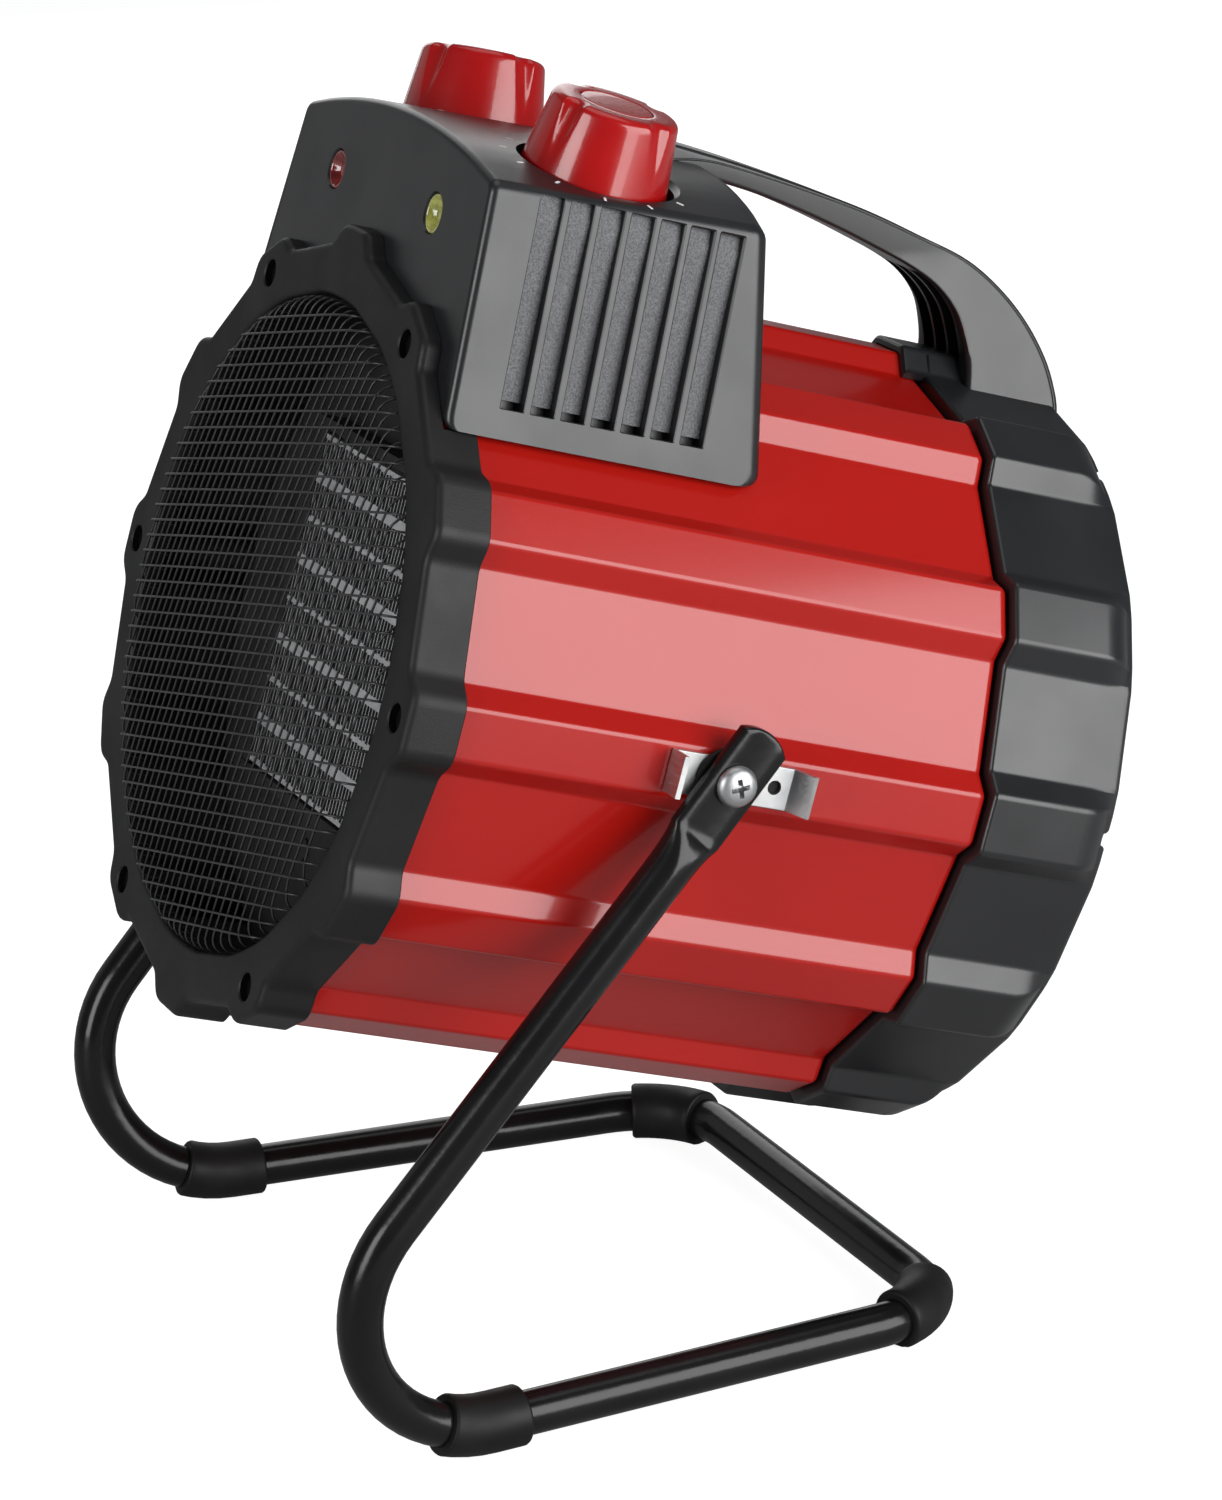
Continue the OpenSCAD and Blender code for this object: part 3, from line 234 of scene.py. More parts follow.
matte_plastic = finish_of(
    "matte black plastic", [(0.006, 0.006, 0.0063), (0.009, 0.009, 0.0095)], (0.46, 0.58),
    (GRAIN, 2600.0, 0.22, 0.0001), patch=24.0, Specular_IOR_Level=0.32)
vane_plastic = finish_of(
    "textured grey plastic", [(0.060, 0.061, 0.066), (0.15, 0.152, 0.160)], (0.5, 0.7),
    (GRAIN, 1900.0, 0.5, 0.0003), patch=1900.0)
stand_paint = finish_of(
    "black gloss paint", [(0.004, 0.004, 0.0043), (0.007, 0.007, 0.0076)], (0.17, 0.24),
    (PATCHES, 300.0, 0.08, 0.0002), patch=30.0, Specular_IOR_Level=0.3)
rubber = finish_of(
    "black rubber", [(0.005, 0.005, 0.005), (0.009, 0.009, 0.009)], (0.46, 0.6),
    (GRAIN, 1800.0, 0.15, 0.0001), patch=60.0, Specular_IOR_Level=0.22)
wire_paint = finish_of(
    "satin black wire", [(0.018, 0.018, 0.019), (0.028, 0.028, 0.029)], (0.30, 0.42), patch=60.0)
print("paints:", red_paint.name, "on the barrel,", stand_paint.name, "on the stand")

# %% Metals and heat-proof parts
zinc = finish_of(
    "bright zinc", [(0.42, 0.43, 0.44), (0.54, 0.54, 0.53)], (0.36, 0.50), (STROKES, None, 0.08, 0.0001),
    metal=1.0, patch=120.0, rough_by=STROKES)
aluminium = finish_of(
    "bare aluminium", [(0.72, 0.73, 0.75), (0.92, 0.92, 0.93)], (0.34, 0.50), (STROKES, None, 0.10, 0.0001),
    metal=0.7, patch=160.0, rough_by=STROKES)
# A dark copy of the bare aluminium: painted shade for the flanks of the fins.
shaded_aluminium = finish_of(
    "aluminium with painted shade", [(0.10, 0.10, 0.105), (0.20, 0.20, 0.21)], (0.45, 0.65),
    (STROKES, None, 0.10, 0.0001), metal=0.7, patch=160.0, rough_by=STROKES)
heat_black = finish_of(
    "heat-proof black", [(0.012, 0.012, 0.012), (0.024, 0.023, 0.022)], (0.55, 0.75),
    (GRAIN, 1500.0, 0.2, 0.0001), patch=40.0)
# Black oxide for the ring's screws. The same near-black is painted shade on the walls of their holes.
oxide_and_shade_black = finish_of(
    "black oxide and painted shade", [(0.0015, 0.0015, 0.0015), (0.003, 0.003, 0.003)], (0.55, 0.7), patch=80.0,
    Specular_IOR_Level=0.08)
motor_grey = finish_of(
    "motor lacquer", [(0.10, 0.10, 0.105), (0.15, 0.15, 0.155)], (0.38, 0.55), (GRAIN, 1200.0, 0.2, 0.0001),
    metal=0.3, patch=60.0)
ceramic = finish_of(
    "off-white ceramic", [(0.66, 0.62, 0.54), (0.76, 0.72, 0.64)], (0.55, 0.75),
    (GRAIN, 2200.0, 0.2, 0.0001), patch=80.0)
brass = finish_of(
    "bare brass", [(0.62, 0.44, 0.16), (0.76, 0.56, 0.24)], (0.22, 0.40), (STROKES, None, 0.08, 0.0001),
    metal=1.0, patch=120.0, rough_by=STROKES)
print("metals:", [metal.name for metal in (zinc, aluminium, shaded_aluminium, brass)])

# %% Print and lamps
white_print = finish_of(
    "white print", [(0.72, 0.72, 0.72), (0.82, 0.82, 0.82)], (0.45, 0.6), patch=600.0)
red_glass = finish_of(
    "red lamp plastic", [(0.10, 0.003, 0.003), (0.22, 0.007, 0.006)], (0.06, 0.12),
    (GRAIN, 700.0, 0.12, 0.0004), patch=350.0, Coat_Weight=0.8, Coat_Roughness=0.03)
amber_glass = finish_of(
    "amber lamp plastic", [(0.20, 0.21, 0.025), (0.48, 0.48, 0.12)], (0.06, 0.12),
    (GRAIN, 700.0, 0.12, 0.0004), patch=350.0, Coat_Weight=0.8, Coat_Roughness=0.03)
print("lamps:", red_glass.name, "and", amber_glass.name)

# %% [markdown]
# ## Tools for building meshes
# Nearly every piece here is a loft: a row of outlines with the same number of points, joined by
# quads. A closed ring of outlines makes a hollow piece, and a row with two caps makes a solid one.
# Holes are cut afterwards by a second solid, whose mouth is a little wider, so each cut edge gets a
# small bevel for the light to catch.

# %% Outlines
def left_of(v):
    """The direction square to a flat one, on its left."""
    return Vector((-v.y, v.x)).normalized()


def grow(points, d):
    """Moves every edge of a clockwise outline outwards by d."""
    grown = []
    for i, p in enumerate(points):
        m, k = left_of(p - points[i - 1]), left_of(points[(i + 1) % len(points)] - p)
        grown.append(p + d * (m + k) / (1 + m.dot(k)))
    return grown


def rounded(points, radii, steps=4):
    """Rounds the corners of an outline; radii is one radius, or one for each corner (0 keeps it)."""
    out = []
    for i, p in enumerate(points):
        r = radii if isinstance(radii, (int, float)) else radii[i]
        if r == 0:
            out.append(p)
            continue
        a, b = points[i - 1] - p, points[(i + 1) % len(points)] - p
        reach = min(r / tan(a.angle(b) / 2), 0.48 * a.length, 0.48 * b.length)
        start, stop = p + a.normalized() * reach, p + b.normalized() * reach
        for s in range(steps + 1):
            t = s / steps
            out.append((1 - t) ** 2 * start + 2 * t * (1 - t) * p + t * t * stop)
    return out


def rectangle(x0, z0, x1, z1):
    return [Vector(c) for c in ((x0, z0), (x0, z1), (x1, z1), (x1, z0))]


def quarter(n):
    """Angles from 0 to 90 degrees."""
    return [pi / 2 * i / n for i in range(n + 1)]


def round_edge(n):
    """Steps of a quarter round of radius one: how far it has come in, and how far it is still back."""
    return [(1 - cos(t), 1 - sin(t)) for t in quarter(n)]


def full_turn(n):
    """Angles once round, without the last."""
    return [2 * pi * i / n for i in range(n)]


print("points of a rounded square:", len(rounded(rectangle(0, 0, 1, 1), 0.2)))

# %% Lofts
def in_scene(name, data):
    """An object for a mesh or a light, linked into the scene."""
    piece = bpy.data.objects.new(name, data)
    bpy.context.scene.collection.objects.link(piece)
    return piece


def object_of(name, points, faces):
    """A mesh object whose faces all look outwards."""
    mesh = bpy.data.meshes.new(name)
    mesh.from_pydata([tuple(p) for p in points], [], faces)
    work = bmesh.new()
    work.from_mesh(mesh)
    bmesh.ops.recalc_face_normals(work, faces=work.faces)
    work.to_mesh(mesh)
    work.free()
    return in_scene(name, mesh)


def solid(name, sections, ring=False):
    """A mesh object through rows of points; ring joins the last row to the first."""
    n, rows = len(sections[0]), len(sections)
    faces = []
    for i in range(rows if ring else rows - 1):
        a, b = i * n, (i + 1) % rows * n
        faces += [(a + j, a + (j + 1) % n, b + (j + 1) % n, b + j) for j in range(n)]
    if not ring:
        faces += [tuple(range(n)), tuple(range((rows - 1) * n, rows * n))]
    return object_of(name, [p for row in sections for p in row], faces)


def turned_solid(name, profile, steps=64, ring=False):
    """A solid of revolution about z from (radius, height) pairs."""
    return solid(name, [[(r * cos(a), r * sin(a), h) for a in full_turn(steps)] for r, h in profile], ring)


print("helpers for meshes:", [tool.__name__ for tool in (object_of, solid, turned_solid)])

# %% Joins, cuts and finished pieces
def joined(name, pieces):
    """One object from several; their meshes stay as they are."""
    work = bmesh.new()
    for piece in pieces:
        work.from_mesh(piece.data)
        bpy.data.objects.remove(piece)
    mesh = bpy.data.meshes.new(name)
    work.to_mesh(mesh)
    work.free()
    return in_scene(name, mesh)


def moved(piece, matrix):
    """Moves the mesh itself; a mirrored one gets its faces turned back."""
    piece.data.transform(matrix)
    if matrix.determinant() < 0:
        piece.data.flip_normals()
    return piece


def cut(piece, *cutters):
    """Takes each cutter out of the piece, and the cutter out of the scene."""
    for cutter in cutters:
        boolean = piece.modifiers.new("cut", "BOOLEAN")
        boolean.operation, boolean.solver, boolean.object = "DIFFERENCE", "MANIFOLD", cutter
        graph = bpy.context.evaluated_depsgraph_get()
        mesh = bpy.data.meshes.new_from_object(piece.evaluated_get(graph))
        piece.modifiers.clear()
        piece.data = mesh
        bpy.data.objects.remove(cutter)
    return piece


def dress(piece, material, slot, *nodes, body="heater", place=BARREL, sharp=32):
    """Puts a piece in its place and gives it its finish, its body and the nodes that it stands for."""
    moved(piece, place)
    mesh = piece.data
    mesh.polygons.foreach_set("use_smooth", [True] * len(mesh.polygons))
    mesh.set_sharp_from_angle(angle=radians(sharp))
    mesh.materials.clear()
    mesh.materials.append(material)
    piece.modifiers.new("even normals", "WEIGHTED_NORMAL").keep_sharp = True
    if nodes:
        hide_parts(*nodes)
    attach(piece, body)
    print(f"{piece.name}: {len(mesh.vertices)} points")
    return piece


print("helpers for pieces:", [tool.__name__ for tool in (joined, moved, cut, dress)])

# %% [markdown]
# ## The fluted outline
# Twelve flat-topped ridges stiffen the barrel's thin sheet, and the black mouldings at both ends
# repeat them. One function gives that outline at any distance and corner radius, with the same count
# of points, so a loft can run from one to another or fade into a circle.

# %% Outline of the flutes
RIDGES = 12
RIDGE_FOOT, RIDGE_TOP = 103.596, 109.596
RIDGE_TOP_W, RIDGE_BASE_W = 14.4, 24.2


def flutes(d, corner, y):
    """The outline at depth y, moved out by d, with its corners rounded."""
    points = []
    for i in range(RIDGES):
        turn = Matrix.Rotation(-2 * pi * i / RIDGES, 2)
        for x, z in ((-RIDGE_BASE_W / 2, RIDGE_FOOT), (-RIDGE_TOP_W / 2, RIDGE_TOP),
                     (RIDGE_TOP_W / 2, RIDGE_TOP), (RIDGE_BASE_W / 2, RIDGE_FOOT)):
            points.append(turn @ Vector((x, z)))
    return [(p.x, y, p.y) for p in rounded(grow(points, d), corner)]


def circle_like(row, r, y):
    """A circle whose points lie in the same directions as those of a row."""
    return [(x * r / hypot(x, z), y, z * r / hypot(x, z)) for x, _, z in row]


def between(row, other, t):
    """A share t of the way from one row to another."""
    return [tuple((1 - t) * a + t * b for a, b in zip(p, q)) for p, q in zip(row, other)]


print("points round the barrel:", len(flutes(0, 2, 0)))

# %% [markdown]
# ## The barrel
# The shell is pressed from sheet about a millimetre thick, so its bends have a radius of two or three
# sheet thicknesses. Its rear edge is rolled inwards, which hides the raw edge and leaves a dark joint
# before the rear cover. The loft runs along the outside, round the lip and back along the inside.

# %% Barrel shell
SHELL_FRONT, SHELL_REAR, SHEET, LIP, SHELL_CORNER = 5.6, 174.0, 1.2, 3.0, 2.4
lip_y = SHELL_REAR - LIP
outside = [(SHELL_FRONT, 0.0)] + [(lip_y + LIP * sin(t), LIP * (cos(t) - 1)) for t in quarter(6)]
inside = [(lip_y + (LIP - SHEET) * sin(t), (LIP - SHEET) * cos(t) - LIP) for t in quarter(6)]
line = outside + inside[::-1] + [(SHELL_FRONT, -SHEET)]
shell = solid("barrel", [flutes(d, SHELL_CORNER, y) for y, d in line], ring=True)
dress(shell, red_paint, "barrel_paint", "barrel_shell")
shell.data.materials.append(heat_black)
around = len(flutes(0, SHELL_CORNER, 0))
for face in shell.data.polygons[len(outside) * around:]:
    face.material_index = 1

# %% [markdown]
# ## The front ring
# A thick black moulding covers the barrel's front edge. Its outline follows the ridges with softer
# corners, and its screws go in from the front through deep holes. The control box cuts away the top
# of its skirt. The holes' mouths are flared a little, because moulded edges are never razor sharp. No
# light gets far into the holes, so their walls are painted the dullest black, as painted shade.

# %% Front ring
SCREW_CIRCLE = 103.096
SCREW_TURNS = [radians(a) for a in (30, 90, 150, 210, 270, 330)]
Y_AXIS = Matrix.Rotation(-pi / 2, 4, "X")


def at_screw(turn):
    """Puts a solid that was turned about z on a screw's axis, pointing to the rear."""
    return shift(SCREW_CIRCLE * sin(turn), 0, SCREW_CIRCLE * cos(turn)) @ Y_AXIS


RING_OVER, RING_DEPTH, RING_FACE, RING_EDGE, RING_CORNER = 2.2, 15.7, 5.5, 2.2, 6.0
OPENING, MOUTH_EDGE, SHELL_FIT, SKIRT_EDGE = 92.0, 1.5, 0.2, 0.4
edge = [flutes(RING_OVER - RING_EDGE * i, RING_CORNER, RING_EDGE * b) for i, b in round_edge(5)]
mouth = [circle_like(edge[0], OPENING + MOUTH_EDGE * b, MOUTH_EDGE * i) for i, b in round_edge(4)]
flat_face = [between(edge[-1], mouth[0], t) for t in (0.12, 0.5, 0.88)]
rows = [flutes(RING_OVER - SKIRT_EDGE, RING_CORNER, RING_DEPTH),
        flutes(RING_OVER, RING_CORNER, RING_DEPTH - SKIRT_EDGE)] + edge + flat_face + mouth
rows += [circle_like(edge[0], OPENING, RING_FACE)]
rows += [flutes(SHELL_FIT, SHELL_CORNER, y) for y in (RING_FACE, RING_DEPTH)]
ring = solid("ring", rows, ring=True)
print("front ring:", len(rows), "rows of", len(rows[0]), "points")

# %% Screw holes in the ring, and the box's seat
HOLE_LINE = [(4.5, -2), (4.5, -0.2), (3.9, 0.4), (3.7, 5.9)]
HOLE_WALL_R, HOLE_REACH, HOLE_FROM = 4.1, 7.5, 0.3
SEAT_HALF_W, SEAT_LOW, SEAT_HIGH, SEAT_REAR = 78.3, 72.3, 130, 40


def in_hole(face):
    """Whether a face of the ring is part of a hole's wall, behind the flared mouth."""
    away = [face.center - at_screw(t).translation for t in SCREW_TURNS]
    near = any(a.length < HOLE_REACH and a.xz.length < HOLE_WALL_R for a in away)
    return near and face.center.y > HOLE_FROM


holes = [moved(turned_solid("hole", HOLE_LINE, 32), at_screw(t)) for t in SCREW_TURNS]
seat_line = rectangle(-SEAT_HALF_W, SEAT_LOW, SEAT_HALF_W, SEAT_HIGH)
seat = solid("seat", [[(p.x, y, p.y) for p in seat_line] for y in (SHELL_FRONT, SEAT_REAR)])
cut(ring, joined("holes", holes), seat)
walls = [int(in_hole(face)) for face in ring.data.polygons]
dress(ring, matte_plastic, "black_plastic", "front_ring")
# The walls of the screw holes take the dullest black, as painted shade.
ring.data.materials.append(oxide_and_shade_black)
ring.data.polygons.foreach_set("material_index", walls)
print("faces in the screw holes:", sum(walls))

# %% [markdown]
# ## The grille
# The outlet is closed by a mesh of wire, pressed into a shallow dome whose rim is drawn back into the
# ring. Pressing has pulled its cells out of square: one set of wires climbs to the right and the
# other leans that way. Each wire is a thin tube that follows the dome, and the leaning set lies
# behind the climbing one. Rings of only five points keep the many wires light.

# %% Tubes along a path
def carried(path, normal=None):
    """Each point of a path with two directions square to it, which turn no more than the path does."""
    path = [Vector(p) for p in path]
    ways = [(path[min(i + 1, len(path) - 1)] - path[max(i - 1, 0)]).normalized() for i in range(len(path))]
    normal = Vector(normal) if normal else ways[0].orthogonal()
    steps = []
    for p, way in zip(path, ways):
        normal = (normal - normal.dot(way) * way).normalized()
        steps.append((p, normal, way.cross(normal)))
    return steps


def tube_rows(path, radius, sides, normal=None):
    """Rows of points round a path; radius is one radius, or one for each point."""
    rows = []
    for i, (p, out, side) in enumerate(carried(path, normal)):
        r = radius if isinstance(radius, float) else radius[i]
        rows.append([p + r * (cos(a) * out + sin(a) * side) for a in full_turn(sides)])
    return rows


print("rows of a straight tube:", len(tube_rows([(0, 0, 0), (0, 1, 0)], 0.1, 5)))

# %% Wire grille
WIRE, WIRE_SIDES, MESH_PITCH, MESH_FRONT, MESH_END = 0.36, 5, 4.45, -6.4, 6.0
DOME, DRUM_R, DRUM_BEND = 3.2, 91.2, 5.0
CLIMB, LEANING = radians(12), radians(75)
FLAT_R = DRUM_R - DRUM_BEND


def mesh_depth(r):
    """Depth of the mesh at a distance from the axis: a shallow dome with a rolled rim."""
    bent = min(max(r - FLAT_R, 0) / DRUM_BEND, 1)
    return MESH_FRONT + DOME * min(r / FLAT_R, 1) ** 2 + DRUM_BEND * (1 - sqrt(1 - bent * bent))


def grille_wire(way, offset, behind):
    """One wire at an angle from level and an offset from the middle."""
    c, s = cos(way), sin(way)
    reach, flat = sqrt(DRUM_R ** 2 - offset ** 2), sqrt(FLAT_R ** 2 - offset ** 2)
    half = [flat * t for t in (0.2, 0.4, 0.6, 0.8, 1)]
    half += [flat + (reach - flat) * sin(t) for t in quarter(5)[1:]]
    line = [(u, mesh_depth(hypot(u, offset)) + behind) for u in [-u for u in half[::-1]] + [0] + half]
    line = [(-reach, MESH_END)] + line + [(reach, MESH_END)]
    path = [(u * c - offset * s, y, u * s + offset * c) for u, y in line]
    return tube_rows(path, WIRE, WIRE_SIDES, (-s, 0, c))


wires = []
half = int((FLAT_R - 1) / MESH_PITCH)
for way, behind in ((CLIMB, 0.0), (LEANING, 1.6 * WIRE)):
    wires += [solid("wire", grille_wire(way, i * MESH_PITCH, behind)) for i in range(-half, half + 1)]
dress(joined("grille", wires), wire_paint, "grille_paint", "front_grille", sharp=180)
print("wires in the grille:", len(wires))

# %% [markdown]
# ## The heating element
# Behind the grille sits a stack of ceramic heating bars in aluminium jackets. Aluminium strip, folded
# to and fro, is bonded between them and gives the heat to the air, with a thin plate where two strips
# meet. The fins are redrawn here with a finer fold, because their glitter through the mesh is what
# one sees: only the cut edges in front keep the bright aluminium, and the flanks behind them take a
# dark copy of it, as painted shade.

# %% Folded fins
FIN_ROWS, ROW_STEP, ROW_H, FIN_PITCH, FIN_T = 8, 11.875, 10.4, 2.1, 0.21
FIN_FRONT, FIN_REAR, FIN_HALF_W = 28.2, 43.8, 49.5
PLATE_FACES = ((0, 1, 2, 3), (4, 5, 6, 7), (0, 1, 5, 4), (1, 2, 6, 5), (2, 3, 7, 6), (3, 0, 4, 7))
legs = int(2 * FIN_HALF_W / FIN_PITCH)
plates = []
for row in range(FIN_ROWS):
    middle = (row - (FIN_ROWS - 1) / 2) * ROW_STEP
    for i in range(legs):
        x, fold = (i - legs / 2) * FIN_PITCH, middle + (ROW_H / 2) * (-1) ** i
        plates += [(x - FIN_T, middle - ROW_H / 2, x + FIN_T, middle + ROW_H / 2),
                   (x, fold - FIN_T, x + FIN_PITCH, fold + FIN_T)]
points, faces = [], []
for x0, z0, x1, z1 in plates:
    n = len(points)
    outline = ((x0, z0), (x1, z0), (x1, z1), (x0, z1))
    points += [(x, y, z) for y in (FIN_FRONT, FIN_REAR) for x, z in outline]
    faces += [tuple(n + j for j in f) for f in PLATE_FACES]
fins = dress(object_of("fins", points, faces), aluminium, "fin_metal", "heating_fins", sharp=20)
# The front faces keep the bright aluminium. The flanks and rear faces take the dark copy, as painted shade.
fins.data.materials.append(shaded_aluminium)
flanks = [int(i % len(PLATE_FACES) > 0) for i in range(len(faces))]
fins.data.polygons.foreach_set("material_index", flanks)

# %% Bars between the fins
BAR_FRONT, BAR_REAR, BAR_HALF_W, THICK, THIN = 28.0, 44.0, 49.9, 1.5, 0.6
bars = []
for i in range(FIN_ROWS + 1):
    z, half = (i - FIN_ROWS / 2) * ROW_STEP, THICK if i % 2 else THIN
    line = rounded(rectangle(-BAR_HALF_W, z - half, BAR_HALF_W, z + half), 0.3)
    bars.append(solid("bar", [[(p.x, y, p.y) for p in line] for y in (BAR_FRONT, BAR_REAR)]))
dress(joined("bars", bars), aluminium, "fin_metal", "heating_bars")

# %% [markdown]
# ## The control box
# The box is one deep moulding that saddles the barrel. Its sides lean in, its top is crowned and
# rises a little to the rear, and its rear wall leans and bows. A loft from front to rear takes all of
# that in: one outline, moved in at both ends for the rounded edges, with each point's rear end on the
# bowed wall.

# %% Walls of the control box
BOX_FRONT, BOX_REAR, BOX_TOP, BOX_LOW, BOX_HALF, BOX_FOOT = 5.7, 93.0, 146.0, 67.94, 78.0, 72.6
CROWN_R, BOW_R, FOOT_ROUND = 280.0, 300.0, 4.0
FLARE, RISE, LEAN = radians(7.2), tan(radians(2.4)), tan(radians(13))


def box_half(z):
    return BOX_HALF - (z - BOX_LOW) * tan(FLARE)


def crown_z(x):
    return BOX_TOP - CROWN_R + sqrt(CROWN_R ** 2 - x * x)


def risen(z, y):
    """Height at depth y of a line that starts at height z: the top rises to the rear, the foot doesn't."""
    return z + (y - BOX_FRONT) * RISE * (z - BOX_FOOT) / (BOX_TOP - BOX_FOOT)


def box_top_at(x, y):
    return risen(crown_z(x), y)


def foot_round(z):
    """How far the round lower corner of a side wall stands back at a height."""
    up = max(0.0, BOX_FOOT + FOOT_ROUND - z)
    return FOOT_ROUND - sqrt(max(0.0, FOOT_ROUND ** 2 - up * up))


def box_front(z):
    return BOX_FRONT + foot_round(z) / 2


def box_rear(x, z):
    return BOX_REAR + (BOX_TOP - z) * LEAN - BOW_R + sqrt(BOW_R ** 2 - x * x) - foot_round(z)


half_top = box_half(crown_z(box_half(BOX_TOP)))
print("half widths of the box, at top and foot:", round(half_top, 1), round(box_half(BOX_FOOT), 1))

# %% Outline and sections of the control box
BOX_CORNER, FRONT_EDGE, REAR_EDGE, RUN_FROM, BOX_MIDDLE = 4.2, 2.4, 4.0, 10, 104
crown = [Vector((half_top * t / 10, crown_z(half_top * t / 10))) for t in range(-10, 11) if abs(t) != 9]
foot_zs = [BOX_FOOT + FOOT_ROUND * t * t for t in (1, 0.8, 0.6, 0.4, 0.2, 0)]
foot = [Vector((box_half(z), z)) for z in foot_zs]
corners = [Vector((-p.x, p.y)) for p in foot[::-1]] + crown + foot
radii = [BOX_CORNER if p in (crown[0], crown[-1]) else 0 for p in corners]
box_line = rounded(corners, radii, 8)


def box_row(inset, y_of, shrink=1.0):
    """The box's outline moved in by inset and shrunk towards its middle, at the depth that y_of gives."""
    row = []
    for p in grow(box_line, -inset):
        x, z = p.x * shrink, BOX_MIDDLE + (p.y - BOX_MIDDLE) * shrink
        y = y_of(x, z)
        row.append((x, y, risen(z, y)))
    return row


rows = [box_row(FRONT_EDGE * b, lambda x, z, i=i: box_front(z) + FRONT_EDGE * i) for i, b in round_edge(5)]
rows += [box_row(0, lambda x, z, s=s: RUN_FROM + (box_rear(x, z) - REAR_EDGE - RUN_FROM) * s)
         for s in (0.25, 0.5, 0.75)]
rows += [box_row(REAR_EDGE * i, lambda x, z, b=b: box_rear(x, z) - REAR_EDGE * b) for i, b in round_edge(6)]
rows += [box_row(REAR_EDGE, box_rear, s) for s in (0.8, 0.55, 0.3, 0.1)]
box = solid("console", rows)
print("control box:", len(box_line), "points round its outline")

# %% [markdown]
# ## Louvres, knob wells and lamp holes
# Seven slots in each side let warm air out. In each lies a vane that starts flush at the top and
# sinks in towards the bottom, with a rough texture that the smooth wall around it lacks, and a dark
# gap below it. The slots are cut as pockets and the vanes are set in as pieces of their own, so each
# keeps its finish.

# %% Places on the box
SLOT_FIRST, SLOT_PITCH, SLOT_W, SLOT_LOW, SLOT_HIGH, SLOTS, POCKET = 20.05, 8.9, 6.9, 12.8, 69.6, 7, 6.5
KNOB_X, KNOB_Y, WELL_FLOOR, LAMP_X, LAMP_Z = 43.0, 45.3, 140.2, 36.0, 123.0
KNOB_LEAN = asin(KNOB_X / CROWN_R)


def on_knob(side):
    """The frame of a knob's shaft, which stands square on the crowned top at the well's floor."""
    return (shift(side * KNOB_X, KNOB_Y, WELL_FLOOR) @ Matrix.Rotation(side * KNOB_LEAN, 4, "Y")
            @ shift(0, 0, -WELL_FLOOR))


def on_wall(side, out, y, along):
    """A point of a side wall's own frame: out of the wall, to the rear, and up along it."""
    x = BOX_HALF + out * cos(FLARE) - along * sin(FLARE)
    return (side * x, y, BOX_LOW + out * sin(FLARE) + along * cos(FLARE))


def slot_cutter(side, i):
    y = SLOT_FIRST + i * SLOT_PITCH
    line = rectangle(y, SLOT_LOW, y + SLOT_W, SLOT_HIGH)
    rows = []
    for out, wider in ((-POCKET, 0), (-0.25, 0), (1.0, 1.25)):
        rows.append([on_wall(side, out, p.x, p.y) for p in rounded(grow(line, wider), 0.3 + wider)])
    return solid("slot", rows)


print("knobs lean out by", round(degrees(KNOB_LEAN), 1), "degrees")

# %% Cuts in the box
WELL_R, WELL_LIP, WELL_FLARE, SADDLE_GAP = 22.1, 143.6, 6, 0.3
WELL_LINE = [(WELL_R, WELL_FLOOR), (WELL_R, WELL_LIP), (WELL_R + WELL_FLARE, WELL_LIP + WELL_FLARE)]
LAMP_LINE = [(6.9, 4), (5.6, BOX_FRONT + 0.5), (5.6, 12)]
sides = (-1, 1)
slots = [slot_cutter(side, i) for side in sides for i in range(SLOTS)]
wells = [moved(turned_solid("well", WELL_LINE, 96), on_knob(side)) for side in sides]
lamps = [moved(turned_solid("lamp", LAMP_LINE, 48), shift(side * LAMP_X, 0, LAMP_Z) @ Y_AXIS)
         for side in sides]
saddle = solid("saddle", [flutes(SADDLE_GAP, SHELL_CORNER, y) for y in (-5, 130)])
cut(box, joined("slots", slots), joined("wells", wells), joined("lamps", lamps), saddle)
dress(box, satin_plastic, "black_plastic", "control_box", sharp=28)

# %% Louvre vanes
VANE_TOP, VANE_FOOT, VANE_LEAN, VANE_END, VANE_ROWS = 0.25, 2.6, 0.9, 2.2, 9
VANE_LAP, VANE_DIP, VANE_BACK = 0.2, 1.4, -POCKET - 0.5


def vane(side, i):
    """A plate that sinks in towards its foot; its first row dips below the slot's upper edge."""
    y0 = SLOT_FIRST + i * SLOT_PITCH - VANE_LAP
    y1 = y0 + SLOT_W + 2 * VANE_LAP
    high = SLOT_HIGH + VANE_LAP
    rows = []
    for k in range(VANE_ROWS):
        t = k / (VANE_ROWS - 1)
        along = high - (high - SLOT_LOW - VANE_END) * t * (2 + t) / 3
        sunk = -VANE_TOP - (VANE_FOOT - VANE_TOP) * sin(pi / 2 * t) - (VANE_DIP if k == 0 else 0.0)
        line = ((y0, sunk), (y1, sunk - VANE_LEAN), (y1, VANE_BACK), (y0, VANE_BACK))
        rows.append([on_wall(side, out, y, along) for y, out in line])
    return solid("vane", rows)


vanes = [vane(side, i) for side in sides for i in range(SLOTS)]
dress(joined("vanes", vanes), vane_plastic, "black_plastic")

# %% [markdown]
# ## Lamps
# Each lamp is a small moulded lens, set a little below the face: a flat rim round a cup, with a low
# button in its middle. Its colour lies in the plastic, and a rough inside breaks up what one sees in
# it.

